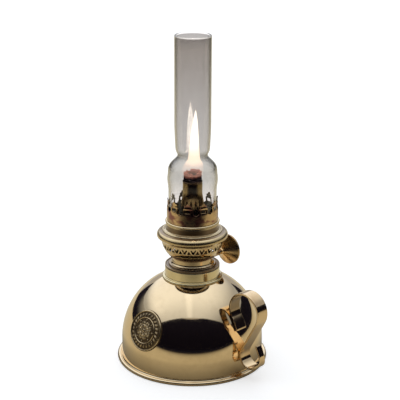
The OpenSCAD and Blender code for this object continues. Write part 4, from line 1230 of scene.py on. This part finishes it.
table_cloth, table_tree, table_surface = bare_material("pale table")
table_path = add(table_tree, "LightPath")
table_spot = add(table_tree, "SeparateXYZ", Vector=add(table_tree, "TexCoord").outputs["Object"])
near = ranged(table_tree, table_spot.outputs[1], -TABLE_EDGE, -TABLE_EDGE + 0.2)
reach = add(table_tree, "VectorMath", {"operation": "LENGTH"},
            _0=add(table_tree, "TexCoord").outputs["Object"]).outputs["Value"]
shade = ranged(table_tree, reach, 0.05, 0.095, 0.40, 1.0)
behind_glass = maths(table_tree, "SUBTRACT", table_path.outputs["Is Transmission Ray"],
                     mirrored_ray(table_tree))
seen = maths(table_tree, "MAXIMUM", table_path.outputs["Is Camera Ray"], behind_glass)
sideways = ranged(table_tree, maths(table_tree, "ABSOLUTE", table_spot.outputs[0]), 0.25, 0.8,
                  1.0, 0.12)
sideways = mixed(table_tree, table_path.outputs["Is Transmission Ray"], (1.0, 1.0, 1.0), sideways)
mirrored = mixed(table_tree, maths(table_tree, "MULTIPLY", near, shade), (0.010, 0.009, 0.019),
                 (0.74, 0.64, 0.44))
mirrored = add(table_tree, "Mix", {"data_type": "RGBA", "blend_type": "MULTIPLY"}, _0=1.0,
               _6=mirrored, _7=sideways).outputs[2]
pale = mixed(table_tree, mirrored_ray(table_tree), (0.635, 0.618, 0.59), mirrored)
table_light = add(table_tree, "Emission", Color=(1.0, 1.0, 1.0),
                  Strength=maths(table_tree, "MULTIPLY", seen, 0.55))
table_both = add(table_tree, "AddShader", _0=add(table_tree, "BsdfDiffuse", Color=pale).outputs[0],
                 _1=table_light.outputs[0])
fill(table_tree, table_surface, table_both.outputs[0])
stage_piece("table", sheet_mesh([(-4, -4, 0), (4, -4, 0), (4, 4, 0), (-4, 4, 0)]), table_cloth)

panel_cloth, panel_tree, panel_surface = bare_material("overhead panel")
panel_spot = add(panel_tree, "SeparateXYZ", Vector=add(panel_tree, "TexCoord").outputs["Object"])
across, back = panel_spot.outputs[0], panel_spot.outputs[1]
front_rise = ranged(panel_tree, back, -PANEL_FRONT, 0.15, 0.80, 1.24)
side_fall = maths(panel_tree, "MULTIPLY", ranged(panel_tree, across, -1.8, -0.9, 0.4, 1.0),
                  ranged(panel_tree, across, 0.1, 1.3, 1.0, 0.38))
tube_gap = maths(panel_tree, "ABSOLUTE", maths(panel_tree, "ADD", across, 0.065))
tube_glow = ranged(panel_tree, tube_gap, 0.02, 0.11, 0.22, 0.0)
panel_light = add(panel_tree, "Emission", Color=(0.93, 1.0, 1.12),
                  Strength=maths(panel_tree, "MULTIPLY", side_fall,
                                 maths(panel_tree, "ADD", front_rise, tube_glow)))
fill(panel_tree, panel_surface, panel_light.outputs[0])
panel = stage_piece("overhead_panel", sheet_mesh([
    (-PANEL_SIDE, -PANEL_FRONT, PANEL_HIGH), (PANEL_SIDE, -PANEL_FRONT, PANEL_HIGH),
    (PANEL_SIDE, PANEL_BACK, PANEL_HIGH), (-PANEL_SIDE, PANEL_BACK, PANEL_HIGH)]), panel_cloth)
panel.visible_camera = False
panel.visible_transmission = False

dark_cloth, dark_tree, dark_surface = bare_material("dark cloth")
dark_spot = add(dark_tree, "SeparateXYZ", Vector=add(dark_tree, "TexCoord").outputs["Object"])
spill_side = maths(dark_tree, "MULTIPLY", ranged(dark_tree, dark_spot.outputs[0], -2.4, -1.6, 1.0, 0.0),
                   ranged(dark_tree, dark_spot.outputs[1], -0.9, 0.3))
spill = maths(dark_tree, "MULTIPLY", ranged(dark_tree, dark_spot.outputs[2], 0.35, 1.2, 0.0, 0.35),
              spill_side)
dark_light = add(dark_tree, "Emission", Color=(0.95, 1.0, 1.05), Strength=spill)
fill(dark_tree, dark_surface,
     add(dark_tree, "AddShader",
         _0=add(dark_tree, "BsdfDiffuse", Color=(0.018, 0.016, 0.034)).outputs[0],
         _1=dark_light.outputs[0]).outputs[0])
cloth_bm = bmesh.new()
cloth_rows = []
for i in range(49):
    cloth_angle = math.radians(CLOTH_TURN * (i / 24 - 1) - 90)
    cloth_x, cloth_y = CLOTH_AWAY * math.cos(cloth_angle), CLOTH_AWAY * math.sin(cloth_angle)
    cloth_rows.append([cloth_bm.verts.new((cloth_x, cloth_y, z)) for z in (-0.01, CLOTH_TALL)])
for one, two in zip(cloth_rows, cloth_rows[1:]):
    cloth_bm.faces.new((one[0], two[0], two[1], one[1]))
cloth = stage_piece("dark_cloth", cloth_bm, dark_cloth)
cloth.visible_camera = False
cloth.visible_diffuse = False
cloth.visible_transmission = False
cloth.visible_shadow = False

world = bpy.data.worlds.new("grey wall")
bpy.context.scene.world = world
world.use_nodes = True
world_tree = world.node_tree
world_path = add(world_tree, "LightPath")
wall_behind_glass = maths(world_tree, "SUBTRACT", world_path.outputs["Is Transmission Ray"],
                          mirrored_ray(world_tree))
plain_seen = maths(world_tree, "MAXIMUM", world_path.outputs["Is Camera Ray"], wall_behind_glass)
fill(world_tree, world_tree.nodes["Background"].inputs["Color"],
     mixed(world_tree, plain_seen, (0.45, 0.45, 0.45), (1.0, 1.0, 1.0)))


bpy.context.view_layer.update()
